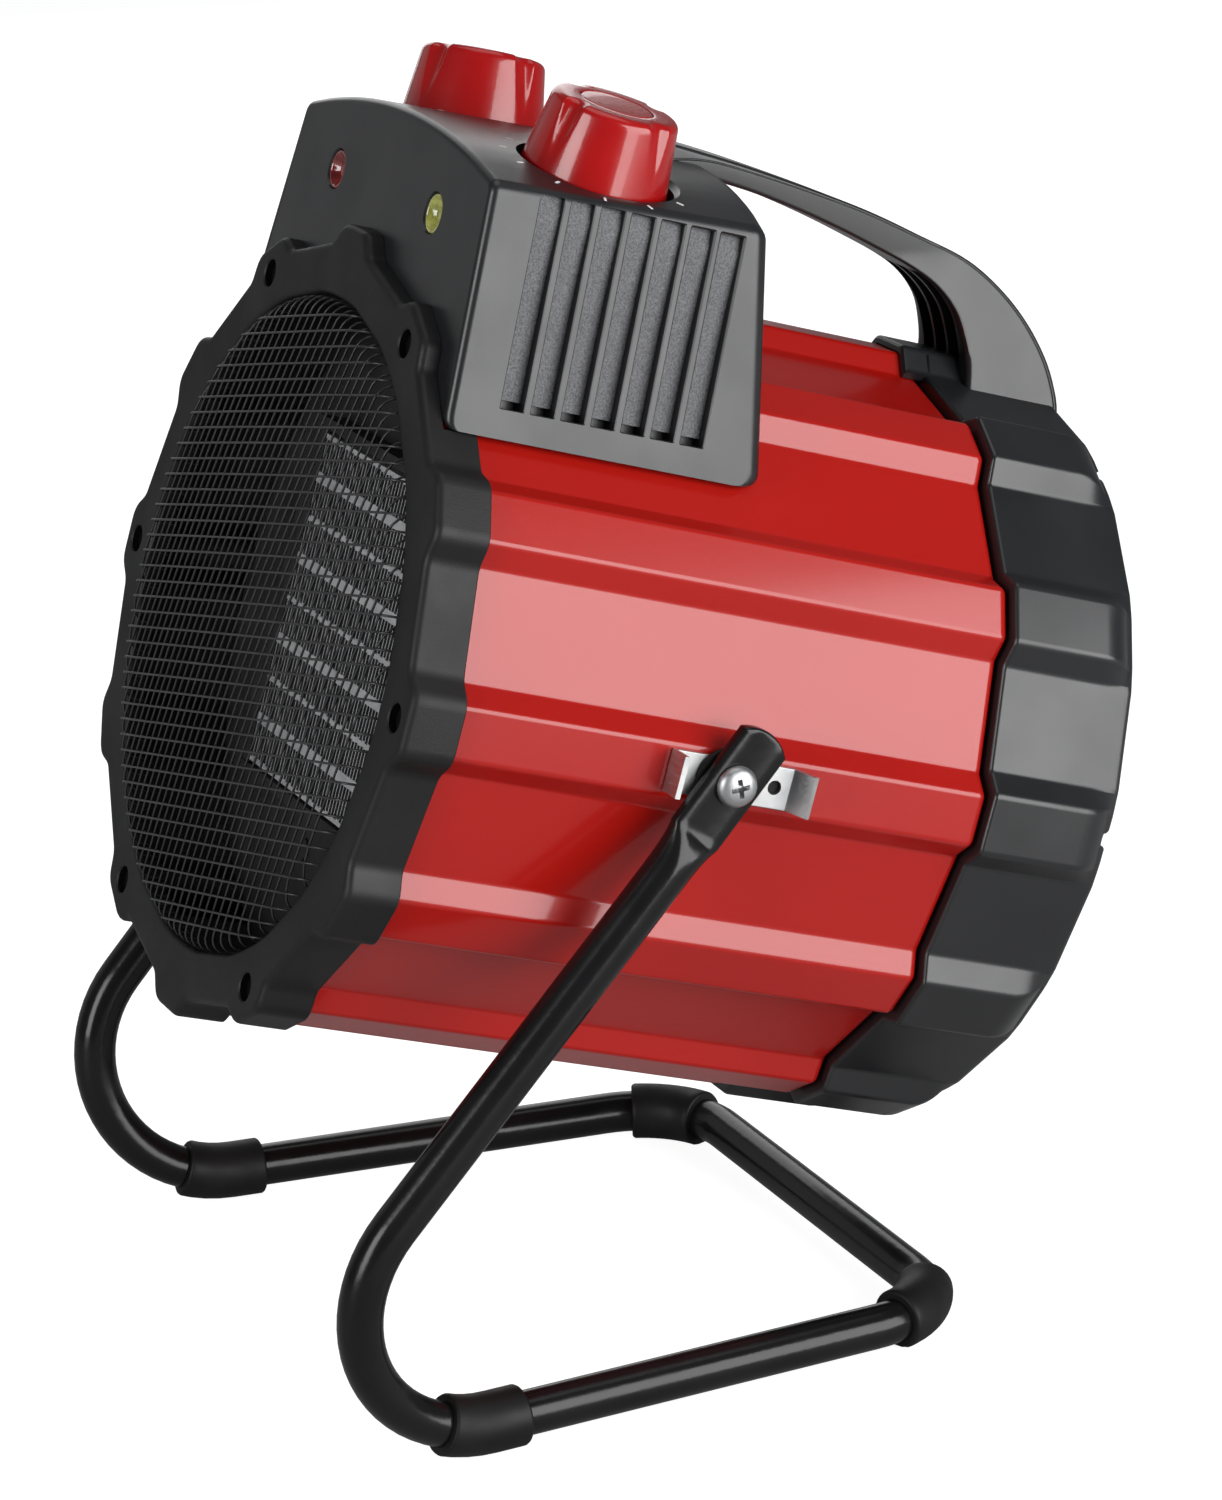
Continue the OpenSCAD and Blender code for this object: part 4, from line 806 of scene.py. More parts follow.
# %% Lamp lenses
lens_line = [(5.4, 3.4), (5.4, 0.45), (5.2, 0.2), (4.7, 0.2), (4.4, 0.5), (3.4, 1.9), (2.6, 2.4),
             (2.1, 2.4), (1.8, 1.7), (1.3, 1.5), (0.4, 1.45)]
LENS_BACK = 0.25
lamps = (("power", -1, red_glass, "red_lens"), ("warning", 1, amber_glass, "amber_lens"))
for name, side, material, slot in lamps:
    place = BARREL @ shift(side * LAMP_X, BOX_FRONT + LENS_BACK, LAMP_Z) @ Y_AXIS
    dress(turned_solid(name + "_lamp", lens_line, 40), material, slot, name + "_lens", place=place)

# %% [markdown]
# ## Dial marks
# The knobs point to plain marks printed round their wells. Each tick is a thin plate laid on the
# crowned top, with every corner at the height the crown has there.

# %% Printed ticks
PRINT_T, TICK_FROM, TICK_TO, TICK_HALF_W = 0.06, 24.6, 26.6, 0.35


def printed(shapes, name):
    """A thin plate on the box's top for each flat outline of (x, y) points."""
    ups = (-PRINT_T, PRINT_T)
    plates = [solid(name, [[(x, y, box_top_at(x, y) + up) for x, y in line] for up in ups])
              for line in shapes]
    return joined(name, plates)


def tick(cx, turn):
    """The four corners of a tick beside a knob at cx, in the direction turn."""
    c, s = cos(turn), sin(turn)
    corners = ((TICK_FROM, -TICK_HALF_W), (TICK_TO, -TICK_HALF_W), (TICK_TO, TICK_HALF_W),
               (TICK_FROM, TICK_HALF_W))
    return [(cx + r * c - w * s, KNOB_Y + r * s + w * c) for r, w in corners]


turns = [radians(a) for a in range(-135, 46, 30)]
ticks = [tick(side * KNOB_X, t if side > 0 else pi - t) for side in sides for t in turns]
dress(printed(ticks, "dial_ticks"), white_print, "black_plastic")

# %% [markdown]
# ## The knobs
# Each knob is a tall, gloss-red cone with four finger notches. A notch is what a leaning cylinder
# leaves when it is taken out of the cone: wide at the top and running out to a point. Instead of a
# cut, the cone's radius is computed at each angle and height, and a soft minimum of cone and cylinder
# rounds the notch's edges the way a mould does. A round cap closes the top.

# %% Side of a knob
KNOB_LOW, KNOB_H, FOOT_R, TOP_R = 140.8, 21.97, 20.5, 17.3
NOTCHES, NOTCH_R, NOTCH_UP, NOTCH_LEAN, SOFTNESS = 4, 5.0, 6.5, radians(15.2), 6.0


def cone_r(h):
    return FOOT_R + (TOP_R - FOOT_R) * h / KNOB_H


def notched_r(turn, h, phase):
    """Radius of the knob's side at an angle and a height."""
    cone = cone_r(h)
    step = 2 * pi / NOTCHES
    a = (turn - phase) % step - step / 2
    wide = NOTCH_R / cos(NOTCH_LEAN)
    axis = cone_r(NOTCH_UP) + wide - (h - NOTCH_UP) * tan(NOTCH_LEAN)
    p, q = (cos(a) / wide) ** 2 + (sin(a) / NOTCH_R) ** 2, axis * cos(a) / wide ** 2
    inside = q * q - p * ((axis / wide) ** 2 - 1)
    if inside <= 0:
        return cone
    notch = (q - sqrt(inside)) / p
    return -log(exp(-SOFTNESS * (cone - TOP_R)) + exp(-SOFTNESS * (notch - TOP_R))) / SOFTNESS + TOP_R


deepest = notched_r(pi / NOTCHES, KNOB_H, 0)
print("a notch is", round(TOP_R - deepest, 1), "mm deep at the top")

# %% A knob's solid
KNOB_EDGE, KNOB_COLUMNS, KNOB_ROWS, KNOB_FOOT, HOLLOW_R, HOLLOW_UP = 2.0, 240, 22, 0.6, 12.0, 3.0
CAP_R, CAP_H, CAP_GAP, CAP_MOUTH = 10.0, 1.2, 0.25, 0.9


def knob(name, phase):
    """One column of points for each angle, from the hollow below over the side to the cap's seat."""
    high = KNOB_H - KNOB_EDGE - KNOB_FOOT
    side = [KNOB_FOOT + high * i / KNOB_ROWS for i in range(KNOB_ROWS + 1)]
    lines = []
    for a in full_turn(KNOB_COLUMNS):
        line = [(HOLLOW_R, HOLLOW_UP), (HOLLOW_R, 0.0), (FOOT_R - KNOB_FOOT, 0.0)]
        line += [(notched_r(a, h, phase), h) for h in side]
        for i, b in round_edge(5)[1:]:
            h = KNOB_H - KNOB_EDGE * b
            line.append((notched_r(a, h, phase) - KNOB_EDGE * i, h))
        rim = line[-1][0]
        line += [(rim + (CAP_R + CAP_MOUTH - rim) * s, KNOB_H) for s in (0.3, 0.65, 1.0)]
        line += [(CAP_R + 0.35, KNOB_H - 0.1), (CAP_R + CAP_GAP, KNOB_H - 0.4)]
        line += [(CAP_R + CAP_GAP, KNOB_H - CAP_H), (1, KNOB_H - CAP_H)]
        lines.append([(r * cos(a), r * sin(a), h) for r, h in line])
    return solid(name, list(zip(*lines)))


print("a knob has", NOTCHES, "notches and", KNOB_COLUMNS, "columns of points")

# %% Knobs and caps
DOT_R, DOT_PLACE = 0.75, (-13.3, -2, 0)
cap_line = [(1.0, -0.1), (9.7, -0.1), (CAP_R - 0.05, 0.2), (CAP_R - 0.05, 0.85), (9.6, CAP_H - 0.08),
            (7.0, CAP_H), (1.0, CAP_H)]
for name, side, turned_by in (("thermostat", -1, -26), ("selector", 1, -20)):
    place = BARREL @ on_knob(side) @ shift(0, 0, KNOB_LOW)
    dot = moved(turned_solid("dot", [(DOT_R, KNOB_H - 0.6), (DOT_R, KNOB_H + 1)], 20), shift(*DOT_PLACE))
    grip = cut(knob(name + "_grip", radians(turned_by)), dot)
    dress(grip, red_plastic, "knob_red", name + "_knob", body=name + "_dial", place=place, sharp=40)
    cap = moved(turned_solid(name + "_disc", cap_line, 72), shift(0, 0, KNOB_H - CAP_H))
    dress(cap, red_plastic, "knob_red", name + "_cap", body=name + "_dial", place=place)

# %% [markdown]
# ## The handle
# The handle is an arch from the box's top to the rear cover. It is lofted between two curves of its
# side view, its back and its underside, with a section whose side carries a fine groove: the joint of
# a cover strip along the back. Towards its foot it flares, to spread the load on the cover. The rear
# leg is cored out in three cells, as thick plastic has to be, and the ribs between the cells show
# from the front. Two screws hold it from inside, one through the cover and one through the box. They
# end inside the plastic.

# %% Curves through points
SPLINE_STEPS = 24


def spline(points, count):
    """Points spread evenly along a smooth curve through the given ones."""
    points = [Vector(p) for p in points]
    padded = [2 * points[0] - points[1]] + points + [2 * points[-1] - points[-2]]
    fine = []
    for a, b, c, d in zip(padded, padded[1:], padded[2:], padded[3:]):
        for k in range(SPLINE_STEPS):
            t = k / SPLINE_STEPS
            fine.append(0.5 * (2 * b + (c - a) * t + (2 * a - 5 * b + 4 * c - d) * t ** 2
                               + (3 * b - a - 3 * c + d) * t ** 3))
    fine.append(points[-1])
    ways = [0.0]
    for p, q in zip(fine, fine[1:]):
        ways.append(ways[-1] + (q - p).length)
    out, k = [], 0
    for i in range(count):
        goal = ways[-1] * i / (count - 1)
        while k < len(fine) - 2 and ways[k + 1] < goal:
            k += 1
        t = (goal - ways[k]) / (ways[k + 1] - ways[k])
        out.append(fine[k].lerp(fine[k + 1], min(max(t, 0), 1)))
    return out


print("middle of a curve through three points:", spline([(0, 0), (1, 1), (2, 0)], 3)[1])

# %% Side view and section of the handle
HANDLE_W, FOOT_W, FLARE_FROM, FLARE_BEND, STATIONS = 23.0, 36.0, 0.6, 1.6, 64
JOINT_DOWN, JOINT_DIP, DIP_TO, JOINT_DEEP, JOINT_HALF_W = 1.9, 4.0, 0.13, 0.45, 0.1
back_line = spline([
    (78.5, 153.4), (90, 152.8), (109, 151.4), (142, 147.6), (164, 143.4), (180, 139.8), (192.5, 133.8),
    (203, 126.0), (211.5, 116.6), (216.6, 107.4), (218, 102.4)], STATIONS)
under_line = spline([
    (77, 141), (90, 145.4), (105.5, 145.2), (122, 143.1), (136, 140.6), (149, 137.7), (162, 134.4),
    (171, 130.8), (178.2, 125.3), (182.7, 118.4), (185.6, 111.5), (187, 103)], STATIONS)


def handle_section(half, tall, joint):
    """One half of the handle's section, from the middle of its underside to the middle of its back."""
    soft, crest = min(2.0, tall / 4), 1.3
    line = [(0, 0), (half - soft, 0)]
    line += [(half - soft * b, soft * i) for i, b in round_edge(3)[1:]]
    groove = tall - joint
    line += [(half, groove - 0.4), (half - JOINT_DEEP, groove - JOINT_HALF_W),
             (half - JOINT_DEEP, groove + JOINT_HALF_W), (half - 0.1, groove + 0.4)]
    line += [(half - 0.1 - crest * i, tall - crest * b) for i, b in round_edge(4)]
    return line + [(0, tall)]


print("sections along the handle:", STATIONS)

# %% Handle
rows = []
for i, (top, low) in enumerate(zip(back_line, under_line)):
    s = i / (STATIONS - 1)
    flared = max(0.0, (s - FLARE_FROM) / (1 - FLARE_FROM)) ** FLARE_BEND
    half = (HANDLE_W + (FOOT_W - HANDLE_W) * flared) / 2
    joint = JOINT_DOWN + JOINT_DIP * max(0.0, 1 - s / DIP_TO) ** 2
    tall = (top - low).length
    line = handle_section(half, tall, joint)
    line = line + [(-x, t) for x, t in line[-2:0:-1]]
    rows.append([(x, *(low + (top - low) * (t / tall))) for x, t in line])
handle = solid("carry_handle", rows)
print("points of a section:", len(rows[0]))

# %% Cells in the handle's rear leg
CELL_W, CELL_STEP = 6.4, 7.8
hollow = [(158, 130), (167, 134.4), (176, 135.2), (186, 132), (194, 125.8), (199.5, 118), (202.5, 110),
          (203, 98), (158, 98)]
cells = [solid("cell", [[(i * CELL_STEP + x, y, z) for y, z in hollow] for x in (-CELL_W / 2, CELL_W / 2)])
         for i in (-1, 0, 1)]
dress(cut(handle, joined("cells", cells)), satin_plastic, "black_plastic", "handle")

# %% Handle screws
BOLT_R, BOLT_HEAD_R, BOLT_HEAD_T = 2.0, 4.0, 2.0
bolts = []
for y, under, tip in ((198.0, 109.6, 126.0), (85.0, 146.9, 151.5)):
    line = [(BOLT_HEAD_R, under - BOLT_HEAD_T), (BOLT_HEAD_R, under), (BOLT_R, under), (BOLT_R, tip)]
    bolts.append(moved(turned_solid("bolt", line, 32), shift(0, y, 0)))
dress(joined("handle_bolts", bolts), zinc, "zinc", "handle_screws")

# %% [markdown]
# ## The rear cover
# The cover repeats the flutes, stands out a little over the shell and lets its ridges run out in a
# round shoulder. Weighting the fluted outline by one minus t squared lets the ridges leave slowly and
# arrive at a true circle before the rear edge. The loft starts in the middle of the rear face, runs
# out and round to the front, and ends inside; then the ring slots, the screw wells and the gland's
# hole are cut. A tab over the top ridge and the cord's gland are pieces of their own.

# %% Rear cover
COVER_FRONT, COVER_REAR, COVER_OVER, COVER_CORNER, FADE, RIM = 174.6, 216.8, 2.5, 2.8, 13.0, 106.6
WALL, REAR_WALL, COVER_EDGE, FRONT_ROUND = 2.5, 3.0, 2.4, 1.2
SPIGOT_IN, SPIGOT_OUT, SPIGOT_FRONT = 95.5, 98.0, 167
full = flutes(COVER_OVER, COVER_CORNER, 0)


def shoulder(t, inset):
    """The outline where a share t of the shoulder is passed, moved in by inset."""
    kept = 1 - t * t
    y = COVER_REAR - FADE + (FADE - COVER_EDGE) * t
    row = flutes(COVER_OVER - inset, COVER_CORNER, y)
    return between(circle_like(row, RIM - inset, y), row, kept)


rear_edge = [circle_like(full, RIM - COVER_EDGE * i, COVER_REAR - COVER_EDGE * b) for i, b in round_edge(5)]
spigot = [(SPIGOT_OUT, COVER_FRONT), (SPIGOT_OUT, SPIGOT_FRONT), (SPIGOT_IN, SPIGOT_FRONT),
          (SPIGOT_IN, COVER_FRONT + WALL)]
rows = [circle_like(full, r, COVER_REAR) for r in (2, 60, 96)] + rear_edge[:0:-1]
rows += [shoulder(t, 0) for t in (1.0, 0.9, 0.8, 0.7, 0.6, 0.5, 0.4, 0.25, 0.0)]
rows += [flutes(COVER_OVER - FRONT_ROUND * i, COVER_CORNER, COVER_FRONT + FRONT_ROUND * b)
         for i, b in round_edge(3)]
rows += [circle_like(full, r, y) for r, y in spigot] + [flutes(COVER_OVER - WALL, 3, COVER_FRONT + WALL)]
rows += [shoulder(t, WALL) for t in (0.0, 0.5, 0.8, 0.95)]
rows += [circle_like(full, r, COVER_REAR - REAR_WALL) for r in (RIM - WALL - 2, 60, 2)]
cover = solid("rear_moulding", rows)
print("rear cover:", len(rows), "rows of", len(full), "points")

# %% Air intake, screw wells and the gland's hole
INTAKE_R, INTAKE_STEP, INTAKE_W, INTAKE_RINGS, SPOKES, SPOKE_W = 80.0, 10.0, 6.0, 6, 8, 5.0
GLAND_Z = -91.85


def arc_slot(r_out, r_in, start, stop, steps):
    """A ring-shaped slot through the rear wall, with a flared mouth."""
    rows = []
    for y, wider in ((COVER_REAR - 6, 0), (COVER_REAR - 0.5, 0), (COVER_REAR + 1, 1.5)):
        more = wider / r_out
        turns = [start - more + (stop - start + 2 * more) * i / steps for i in range(steps + 1)]
        line = [(r_out + wider, a) for a in turns] + [(r_in - wider, a) for a in turns[::-1]]
        rows.append([(r * cos(a), y, r * sin(a)) for r, a in line])
    return solid("arc", rows)


arcs, part = [], 2 * pi / SPOKES
for i in range(INTAKE_RINGS):
    r = INTAKE_R - i * INTAKE_STEP
    gap = asin(SPOKE_W / 2 / (r - INTAKE_W / 2))
    for k in range(SPOKES):
        arcs.append(arc_slot(r, r - INTAKE_W, k * part + gap, (k + 1) * part - gap, max(3, int(r / 6))))
well_line = [(3.7, 210), (3.7, COVER_REAR - 0.5), (5.2, COVER_REAR + 1)]
wells = [moved(turned_solid("well", well_line, 32), at_screw(t)) for t in SCREW_TURNS]
port = moved(turned_solid("port", [(7.1, 205), (7.1, 220)], 40), shift(0, 0, GLAND_Z) @ Y_AXIS)
print("slots in the intake:", len(arcs))
cut(cover, joined("arcs", arcs), joined("wells", wells + [port]))

# %% Tab over the top ridge
TAB_REACH, TAB_ABOVE, TAB_FRONT, TAB_GAP = 17.5, 90, 168.0, 0.3


def tab_row(d, y):
    """The part of the fluted outline over the top ridge."""
    return sorted(p for p in flutes(d, 3, y) if p[2] > TAB_ABOVE and abs(p[0]) < TAB_REACH)


tab_line = ((1.6, TAB_FRONT), (2.3, TAB_FRONT + 0.5), (2.5, TAB_FRONT + 1.2), (2.5, COVER_FRONT + 2))
rows = [tab_row(out, y) + tab_row(TAB_GAP, y)[::-1] for out, y in tab_line]
cover = joined("rear_moulding", [cover, solid("tab", rows)])
dress(cover, satin_plastic, "black_plastic", "rear_cover")

# %% Cord gland
gland_line = [(4.0, -9), (7.0, -9), (7.0, 0), (8.8, 0), (9.2, 0.4), (9.2, 2.2), (8.4, 3.0), (5.0, 3.0),
              (4.0, 2.2)]
place = BARREL @ shift(0, COVER_REAR, GLAND_Z) @ Y_AXIS
dress(turned_solid("gland", gland_line, 48, ring=True), rubber, "black_trim", "cord_gland", place=place)

# %% [markdown]
# ## The stand
# One steel tube makes the whole stand. It comes down from the right pivot, bends at the floor, runs
# back, crosses behind the barrel and returns to the left pivot. Both ends are pressed flat and
# drilled. The tube is swept along that path with a section that changes from a flattened bar to a
# circle over a short neck; the pressing leaves a shallow dish along the flat, so the section has one
# too.

# %% Path of the stand
PIVOT_UP, LEG_X, CORNER_AHEAD, CORNER_HALF = 172.7, 115.2, 158.3, 111.0
REAR_HALF, REAR_BEHIND, FRONT_BEND, REAR_BEND = 91.6, 75.8, 38.9, 29.0
TUBE_R, FLAT_T, FLAT_W, FLAT_ABOVE, FLAT_BELOW, NECK = 6.24, 5.0, 15.8, 16.6, 16.5, 14.0
LEG_LEAN = atan2(CORNER_AHEAD, PIVOT_UP)


def leg_point(along, side):
    """A point of a leg's straight, at a distance from the pivot."""
    return Vector((side * LEG_X, -along * sin(LEG_LEAN), PIVOT_UP - along * cos(LEG_LEAN)))


def bend(a, p, b, r, steps):
    """Points of a bend of radius r at corner p, on the way from a to b."""
    u, v = (a - p).normalized(), (b - p).normalized()
    half = u.angle(v) / 2
    middle = p + (u + v).normalized() * (r / sin(half))
    start = p + u * (r / tan(half)) - middle
    turns = [(pi - 2 * half) * i / steps for i in range(steps + 1)]
    return [middle + start * cos(t) - u * (r * sin(t)) for t in turns]


def stand_corners(side):
    """Where a leg's straight starts, its corner on the floor, the rear corner and the one across."""
    return (leg_point(FLAT_BELOW + NECK, side), Vector((side * CORNER_HALF, -CORNER_AHEAD, 0)),
            Vector((side * REAR_HALF, REAR_BEHIND, 0)), Vector((-side * REAR_HALF, REAR_BEHIND, 0)))


def front_bend(side):
    kink, front, rear, _ = stand_corners(side)
    return bend(kink, front, rear, FRONT_BEND, 24)


def rear_bend(side):
    _, front, rear, other = stand_corners(side)
    return bend(front, rear, other, REAR_BEND, 16)


print("leg leans", round(degrees(LEG_LEAN), 1), "degrees")

# %% Section of the stand tube
TIP_R, TUBE_SIDES, BAR_SQUARE_T, BAR_SQUARE_W, DISH, DISH_HALF_W = 11.9, 40, 0.42, 0.55, 0.22, 4.6


def flat_half_w(along):
    """Half width of the flattened end; its tip is an arc."""
    e = along + FLAT_ABOVE
    return min(FLAT_W / 2, sqrt(max(0.05, TIP_R ** 2 - (TIP_R - min(e, TIP_R)) ** 2)))


def tube_section(along):
    """Points (thickness, width) of the tube's section at a distance from the pivot along the leg."""
    t = min(max((along - FLAT_BELOW) / NECK, 0), 1)
    rounding = 1 - (1 - t) ** 3
    wide, thick = flat_half_w(along), FLAT_T / 2 * min(1.0, 0.75 + (along + FLAT_ABOVE) / 4)
    line = []
    for a in full_turn(TUBE_SIDES):
        c, s = cos(a), sin(a)
        bar_t = thick * copysign(abs(c) ** BAR_SQUARE_T, c)
        bar_w = wide * copysign(abs(s) ** BAR_SQUARE_W, s)
        bar_t *= 1 - DISH * max(0.0, 1 - (bar_w / DISH_HALF_W) ** 2)
        line.append(((1 - rounding) * bar_t + rounding * TUBE_R * c,
                     (1 - rounding) * bar_w + rounding * TUBE_R * s))
    return line


print("the tube's end is", 2 * flat_half_w(0), "mm wide at the pivot")

# %% Stand tube
TIP_STEPS = (0.03, 0.2, 0.5, 0.9, 1.4, 2.0, 2.6, 3.0, 3.6, 5.0, 9.0, 14.0, 19.0, 25.0, 31.0)


def half_stand(side):
    """Points of the path with their sections, from a leg's flat end to the rear bend."""
    alongs = [e - FLAT_ABOVE for e in TIP_STEPS] + [FLAT_BELOW + NECK * i / 10 for i in range(11)]
    tube = tube_section(FLAT_BELOW + NECK)
    leg = [(leg_point(a, side), tube_section(a)) for a in alongs]
    return leg + [(p, tube) for p in front_bend(side) + rear_bend(side)]


path, sections = zip(*half_stand(1), *half_stand(-1)[::-1])
rows = [[p + t * out + w * side for t, w in section]
        for (p, out, side), section in zip(carried(path, (1, 0, 0)), sections)]
dress(solid("stand", rows), stand_paint, "stand_paint", "stand_tube", body="stand", place=STAND, sharp=50)

# %% [markdown]
# ## Rubber sleeves
# Four sleeves are pushed over the tube where it touches the floor. They swell at the middle and turn
# in at their ends, and their weight-bearing side is flat: every point below the floor is lifted onto
# it.

# %% Sleeves
SLEEVE_R, SLEEVE_RUN, SLEEVE_TURN, REAR_SPAN = 8.5, 9.5, radians(27), slice(3, 13)
ROUND_AT, ROUND_DROP = (0.0, 0.35, 1.0), (0.9, 0.35, 0.0)
BOTH_SIDES = (("left", -1), ("right", 1))


def sleeve(name, path, node):
    """A rubber tube along a path, with round ends and a flat sole."""
    a, b = (path[1] - path[0]).normalized(), (path[-2] - path[-1]).normalized()
    line = [path[0] + a * e for e in ROUND_AT] + path[1:-1] + [path[-1] + b * e for e in ROUND_AT[::-1]]
    ends = [SLEEVE_R - d for d in ROUND_DROP]
    radii = ends + [SLEEVE_R] * (len(path) - 2) + ends[::-1]
    rows = [[Vector((p.x, p.y, max(p.z, -FLOOR_UP))) for p in row] for row in tube_rows(line, radii, 36)]
    dress(solid(name, rows), rubber, "foot_rubber", node, body="stand", place=STAND, sharp=40)


for word, side in BOTH_SIDES:
    _, front, rear, _ = stand_corners(side)
    run = (rear - front).normalized()
    curve = front_bend(side)
    kept = [p for p in curve if (p - curve[-1]).length < FRONT_BEND * SLEEVE_TURN]
    sleeve(f"front_{word}_sleeve", kept + [kept[-1] + run * SLEEVE_RUN], f"front_{word}_foot")
    sleeve(f"rear_{word}_sleeve", rear_bend(side)[REAR_SPAN], f"rear_{word}_foot")

# %% [markdown]
# ## The pivots
# A zinc-plated bracket, folded from strip, is held to the barrel's widest ridge by the pivot screw,
# with a dark friction washer between bracket and tube. Strip keeps an inside bend radius of about its
# thickness. The screw has a pan head with a cross recess, whose arms narrow towards the bottom.

# %% The folded strip
WEB_X, WEB_FRONT, WEB_REAR, REAR_LEAN = 109.6, 76.5, 114.2, radians(66)
STRIP_T, STRIP_HALF, STRIP_BEND, FRONT_FLANGE, REAR_FLANGE = 1.5, 5.8, 1.8, 9.4, 8.4
fold = [Vector((WEB_FRONT, WEB_X + FRONT_FLANGE)), Vector((WEB_FRONT, WEB_X)), Vector((WEB_REAR, WEB_X)),
        Vector((WEB_REAR + REAR_FLANGE * cos(REAR_LEAN), WEB_X + REAR_FLANGE * sin(REAR_LEAN)))]
fold = rounded(fold, [0, STRIP_BEND, STRIP_BEND, 0], 6)
strip_section = rounded(rectangle(0, -STRIP_HALF, STRIP_T, STRIP_HALF), 0.3, 3)


def strip_rows():
    """The strip's section carried along its folded line, square to it at every point."""
    rows = []
    for i, p in enumerate(fold):
        way = (fold[min(i + 1, len(fold) - 1)] - fold[max(i - 1, 0)]).normalized()
        rows.append([(p.y + q.x * way.x, p.x - q.x * way.y, q.y) for q in strip_section])
    return rows


print("points along the folded strip:", len(fold))

# %% Brackets, washers and pan-head screws
SPARE_Y, SPARE_R, PLUG_R, WASHER_X, SCREW_X, SCREW_TURN = 108.6, 2.0, 2.3, 111.1, 117.7, 0.4
HEAD_R, HEAD_H, ARM_HALF_W, ARM_R = 5.7, 3.4, 0.75, 3.0
X_AXIS = Matrix.Rotation(pi / 2, 4, "Y")
AT_PIVOT, AT_SPARE = shift(0, PIVOT_BACK, 0) @ X_AXIS, shift(0, SPARE_Y, 0) @ X_AXIS
washer_line = [(3.1, 0), (8.7, 0), (9.0, 0.3), (9.0, 1.3), (8.7, 1.6), (3.1, 1.6)]
head_line = [(2.95, -14.0), (2.95, 0.0), (HEAD_R - 0.2, 0.0), (HEAD_R, 0.3), (HEAD_R - 0.05, 1.0),
             (5.25, 1.9), (4.5, 2.6), (3.3, 3.1), (1.8, HEAD_H - 0.08), (0.5, HEAD_H)]
arm = [(ARM_HALF_W, ARM_R), (ARM_HALF_W, ARM_HALF_W), (ARM_R, ARM_HALF_W)]
cross = []
for _ in range(4):
    cross += arm
    arm = [(y, -x) for x, y in arm]
for word, side in BOTH_SIDES:
    mirror = BARREL @ Matrix.Diagonal((side, 1, 1, 1))
    spare = moved(turned_solid("spare", [(SPARE_R, WEB_X - 2), (SPARE_R, WEB_X + 3)], 28), AT_SPARE)
    dress(cut(solid(word + "_strip", strip_rows()), spare), zinc, "zinc", word + "_bracket", place=mirror)
    disc = moved(turned_solid(word + "_disc", washer_line, 56, ring=True), shift(WASHER_X, 0, 0) @ AT_PIVOT)
    plug = moved(turned_solid("plug", [(PLUG_R, WEB_X - 1.0), (PLUG_R, WEB_X + 0.1)], 28), AT_SPARE)
    dress(joined(word + "_disc", [disc, plug]), rubber, "black_trim", word + "_washer", place=mirror)
    depths = ((0.9, 0.45), (HEAD_H + 0.6, 1.05))
    recess = solid("recess", [[(x * k, y * k, h) for x, y in cross] for h, k in depths])
    screw = moved(cut(turned_solid(word + "_pan_head", head_line, 56), recess),
                  shift(SCREW_X, 0, 0) @ AT_PIVOT @ Matrix.Rotation(SCREW_TURN, 4, "Z"))
    dress(screw, zinc, "zinc", word + "_pivot_screw", place=mirror)

# %% [markdown]
# ## Finishes for the inner parts
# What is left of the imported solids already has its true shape: the element's frame and end blocks,
# the fan and its motor, screws and terminals. Each takes the finish of its material, so nothing shows
# a plain colour where one looks through the grille or the rear slots.

# %% Finishes on the remaining solids
inner = {
    heat_black: ("element_frame", "element_end_blocks", "lamp_holders", "cutout_rivets"),
    oxide_and_shade_black: ("ring_screws",),
    matte_plastic: ("fan_shroud", "thermal_cutout"),
    motor_grey: ("fan_motor",),
    aluminium: ("fan",),
    ceramic: ("thermostat_body", "selector_body"),
    brass: ("element_terminals",),
    zinc: ("motor_mount", "mount_screws", "motor_shaft", "cover_screws", "left_pivot_nut",
           "right_pivot_nut", "thermostat_nut", "selector_nut", "thermostat_shaft", "selector_shaft"),
}
for material, names in inner.items():
    for name in names:
        node = frame["nodes"][name]
        if not node.material_slots:
            node.data.materials.append(material)
        for slot in node.material_slots:
            slot.material = material
print("solids kept:", sum(len(names) for names in inner.values()))

# %% [markdown]
# ## The studio
# The photograph was lit by a large soft light from the right and softer ones from above and in front,
# on white. The pale floor fills the whole frame, because the camera looks down on it. It glows for
# the camera alone, so the heater's underside stays as dark as in the photograph. The left stays dim,
# because the black front mirrors it.

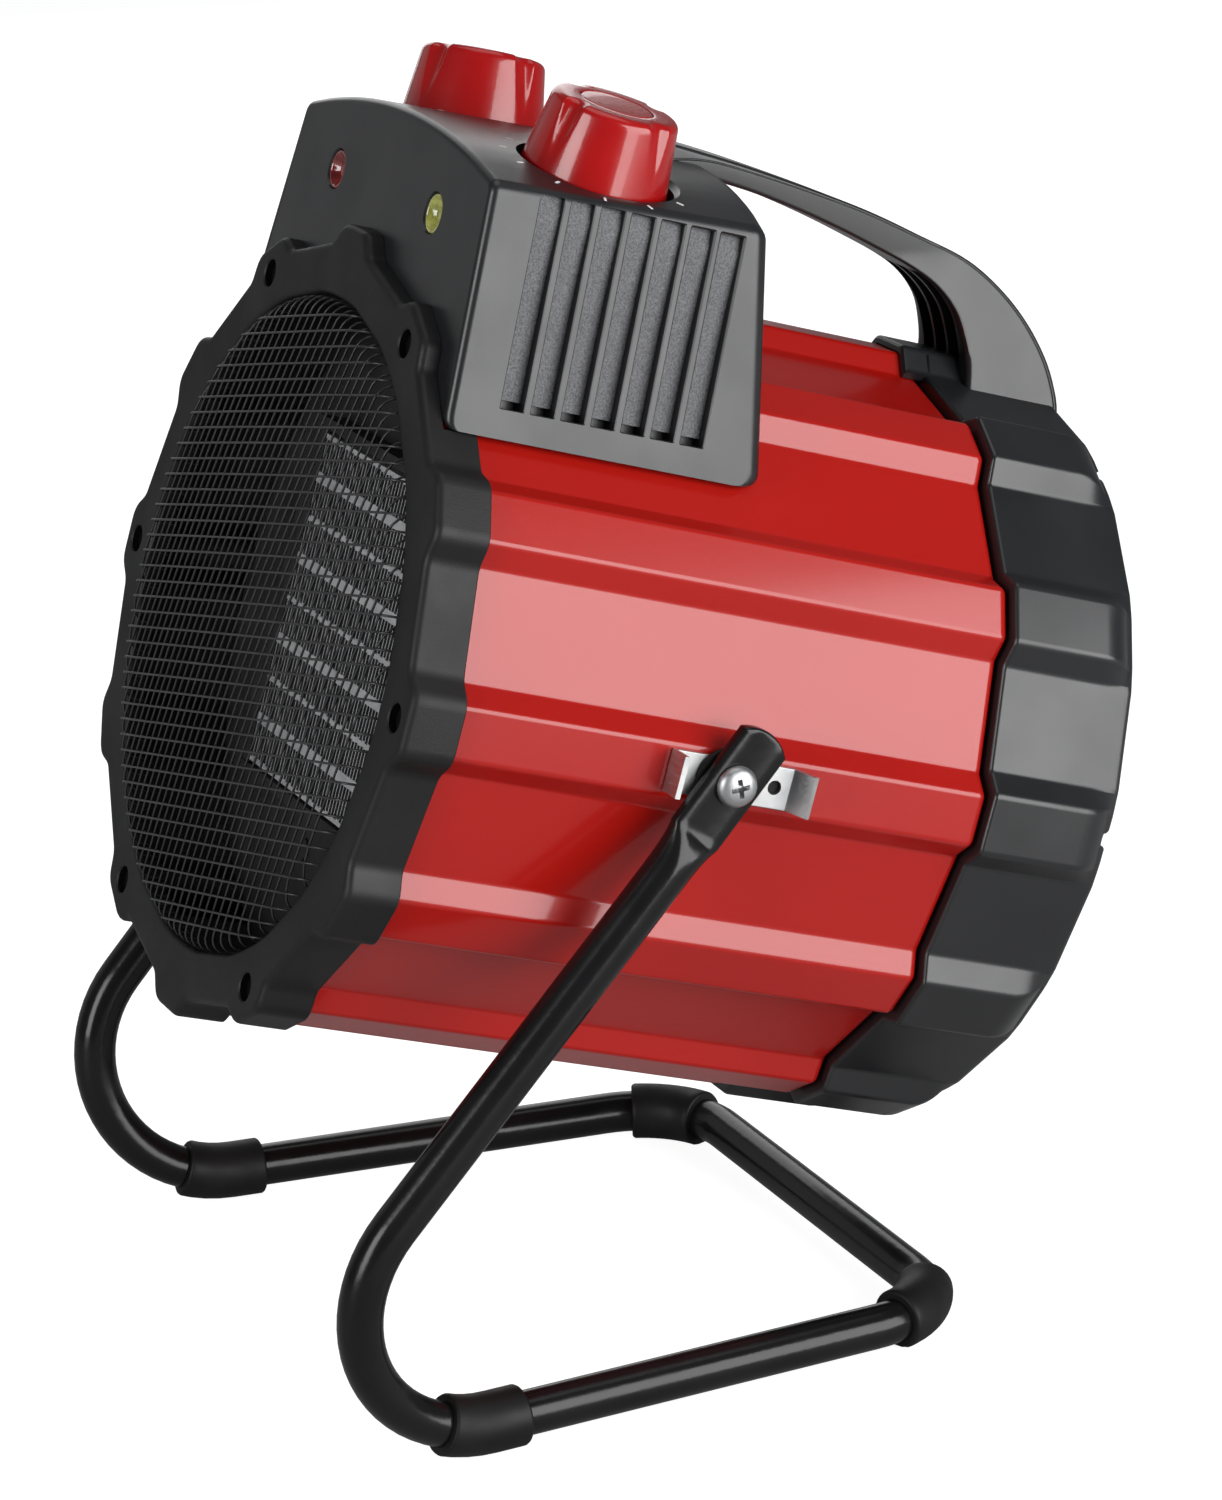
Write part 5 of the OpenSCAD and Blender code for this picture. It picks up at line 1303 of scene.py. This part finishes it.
# %% Floor
FLOOR_R, FLOOR_SIDES, FLOOR_Z = 7.0, 96, -0.0004
GLOW_DIM, GLOW_SEEN = 0.05, 0.9
floor = object_of("floor", [(FLOOR_R * cos(a), FLOOR_R * sin(a), FLOOR_Z) for a in full_turn(FLOOR_SIDES)],
                  [tuple(range(FLOOR_SIDES))])
paper = finish_of("pale floor", [(0.36, 0.36, 0.36), (0.38, 0.38, 0.38)], (0.7, 0.8), patch=2.0,
                  Emission_Color=(1, 1, 1, 1))
tree = paper.node_tree
seen = node_in(tree, "LightPath").outputs["Is Camera Ray"]
glow = node_in(tree, "MapRange", Value=seen, To_Min=GLOW_DIM, To_Max=GLOW_SEEN)
fill(tree, tree.nodes["Principled BSDF"], Emission_Strength=glow.outputs["Result"])
floor.data.materials.append(paper)
print("floor:", 2 * FLOOR_R, "m across")

# %% Lights and world
MIDDLE = Vector((0, 0, 0.18))


def soft_light(name, place, size, power):
    """A rectangle of light at a place, turned to the heater's middle; the camera doesn't see it."""
    light = bpy.data.lights.new(name, "AREA")
    light.shape, light.size, light.size_y, light.energy = "RECTANGLE", *size, power
    lamp = in_scene(name, light)
    lamp.visible_camera = False
    turn = (Vector(place) - MIDDLE).to_track_quat("Z", "Y")
    lamp.matrix_world = Matrix.Translation(place) @ turn.to_matrix().to_4x4()


soft_light("right softbox", (1.38, 0.74, 0.48), (1.5, 1.25), 38.5)
soft_light("top softbox", (0.0, 0.3, 2.2), (1.6, 1.6), 9)
soft_light("front softbox", (0.75, -2.1, 0.8), (0.9, 1.3), 28)
soft_light("left fill", (-1.8, -1.1, 0.6), (1.6, 1.2), 1.2)
soft_light("left softbox", (-1.97, 0.50, 0.90), (1.2, 1.5), 8)
world = bpy.data.worlds.new("studio")
world.use_nodes = True
sky = world.node_tree.nodes["Background"]
sky.inputs["Color"].default_value = (0.95, 0.97, 1.0, 1)
sky.inputs["Strength"].default_value = 0.12
bpy.context.scene.world = world
bpy.context.scene.view_settings.view_transform = "Standard"
print("lights:", len(bpy.data.lights))
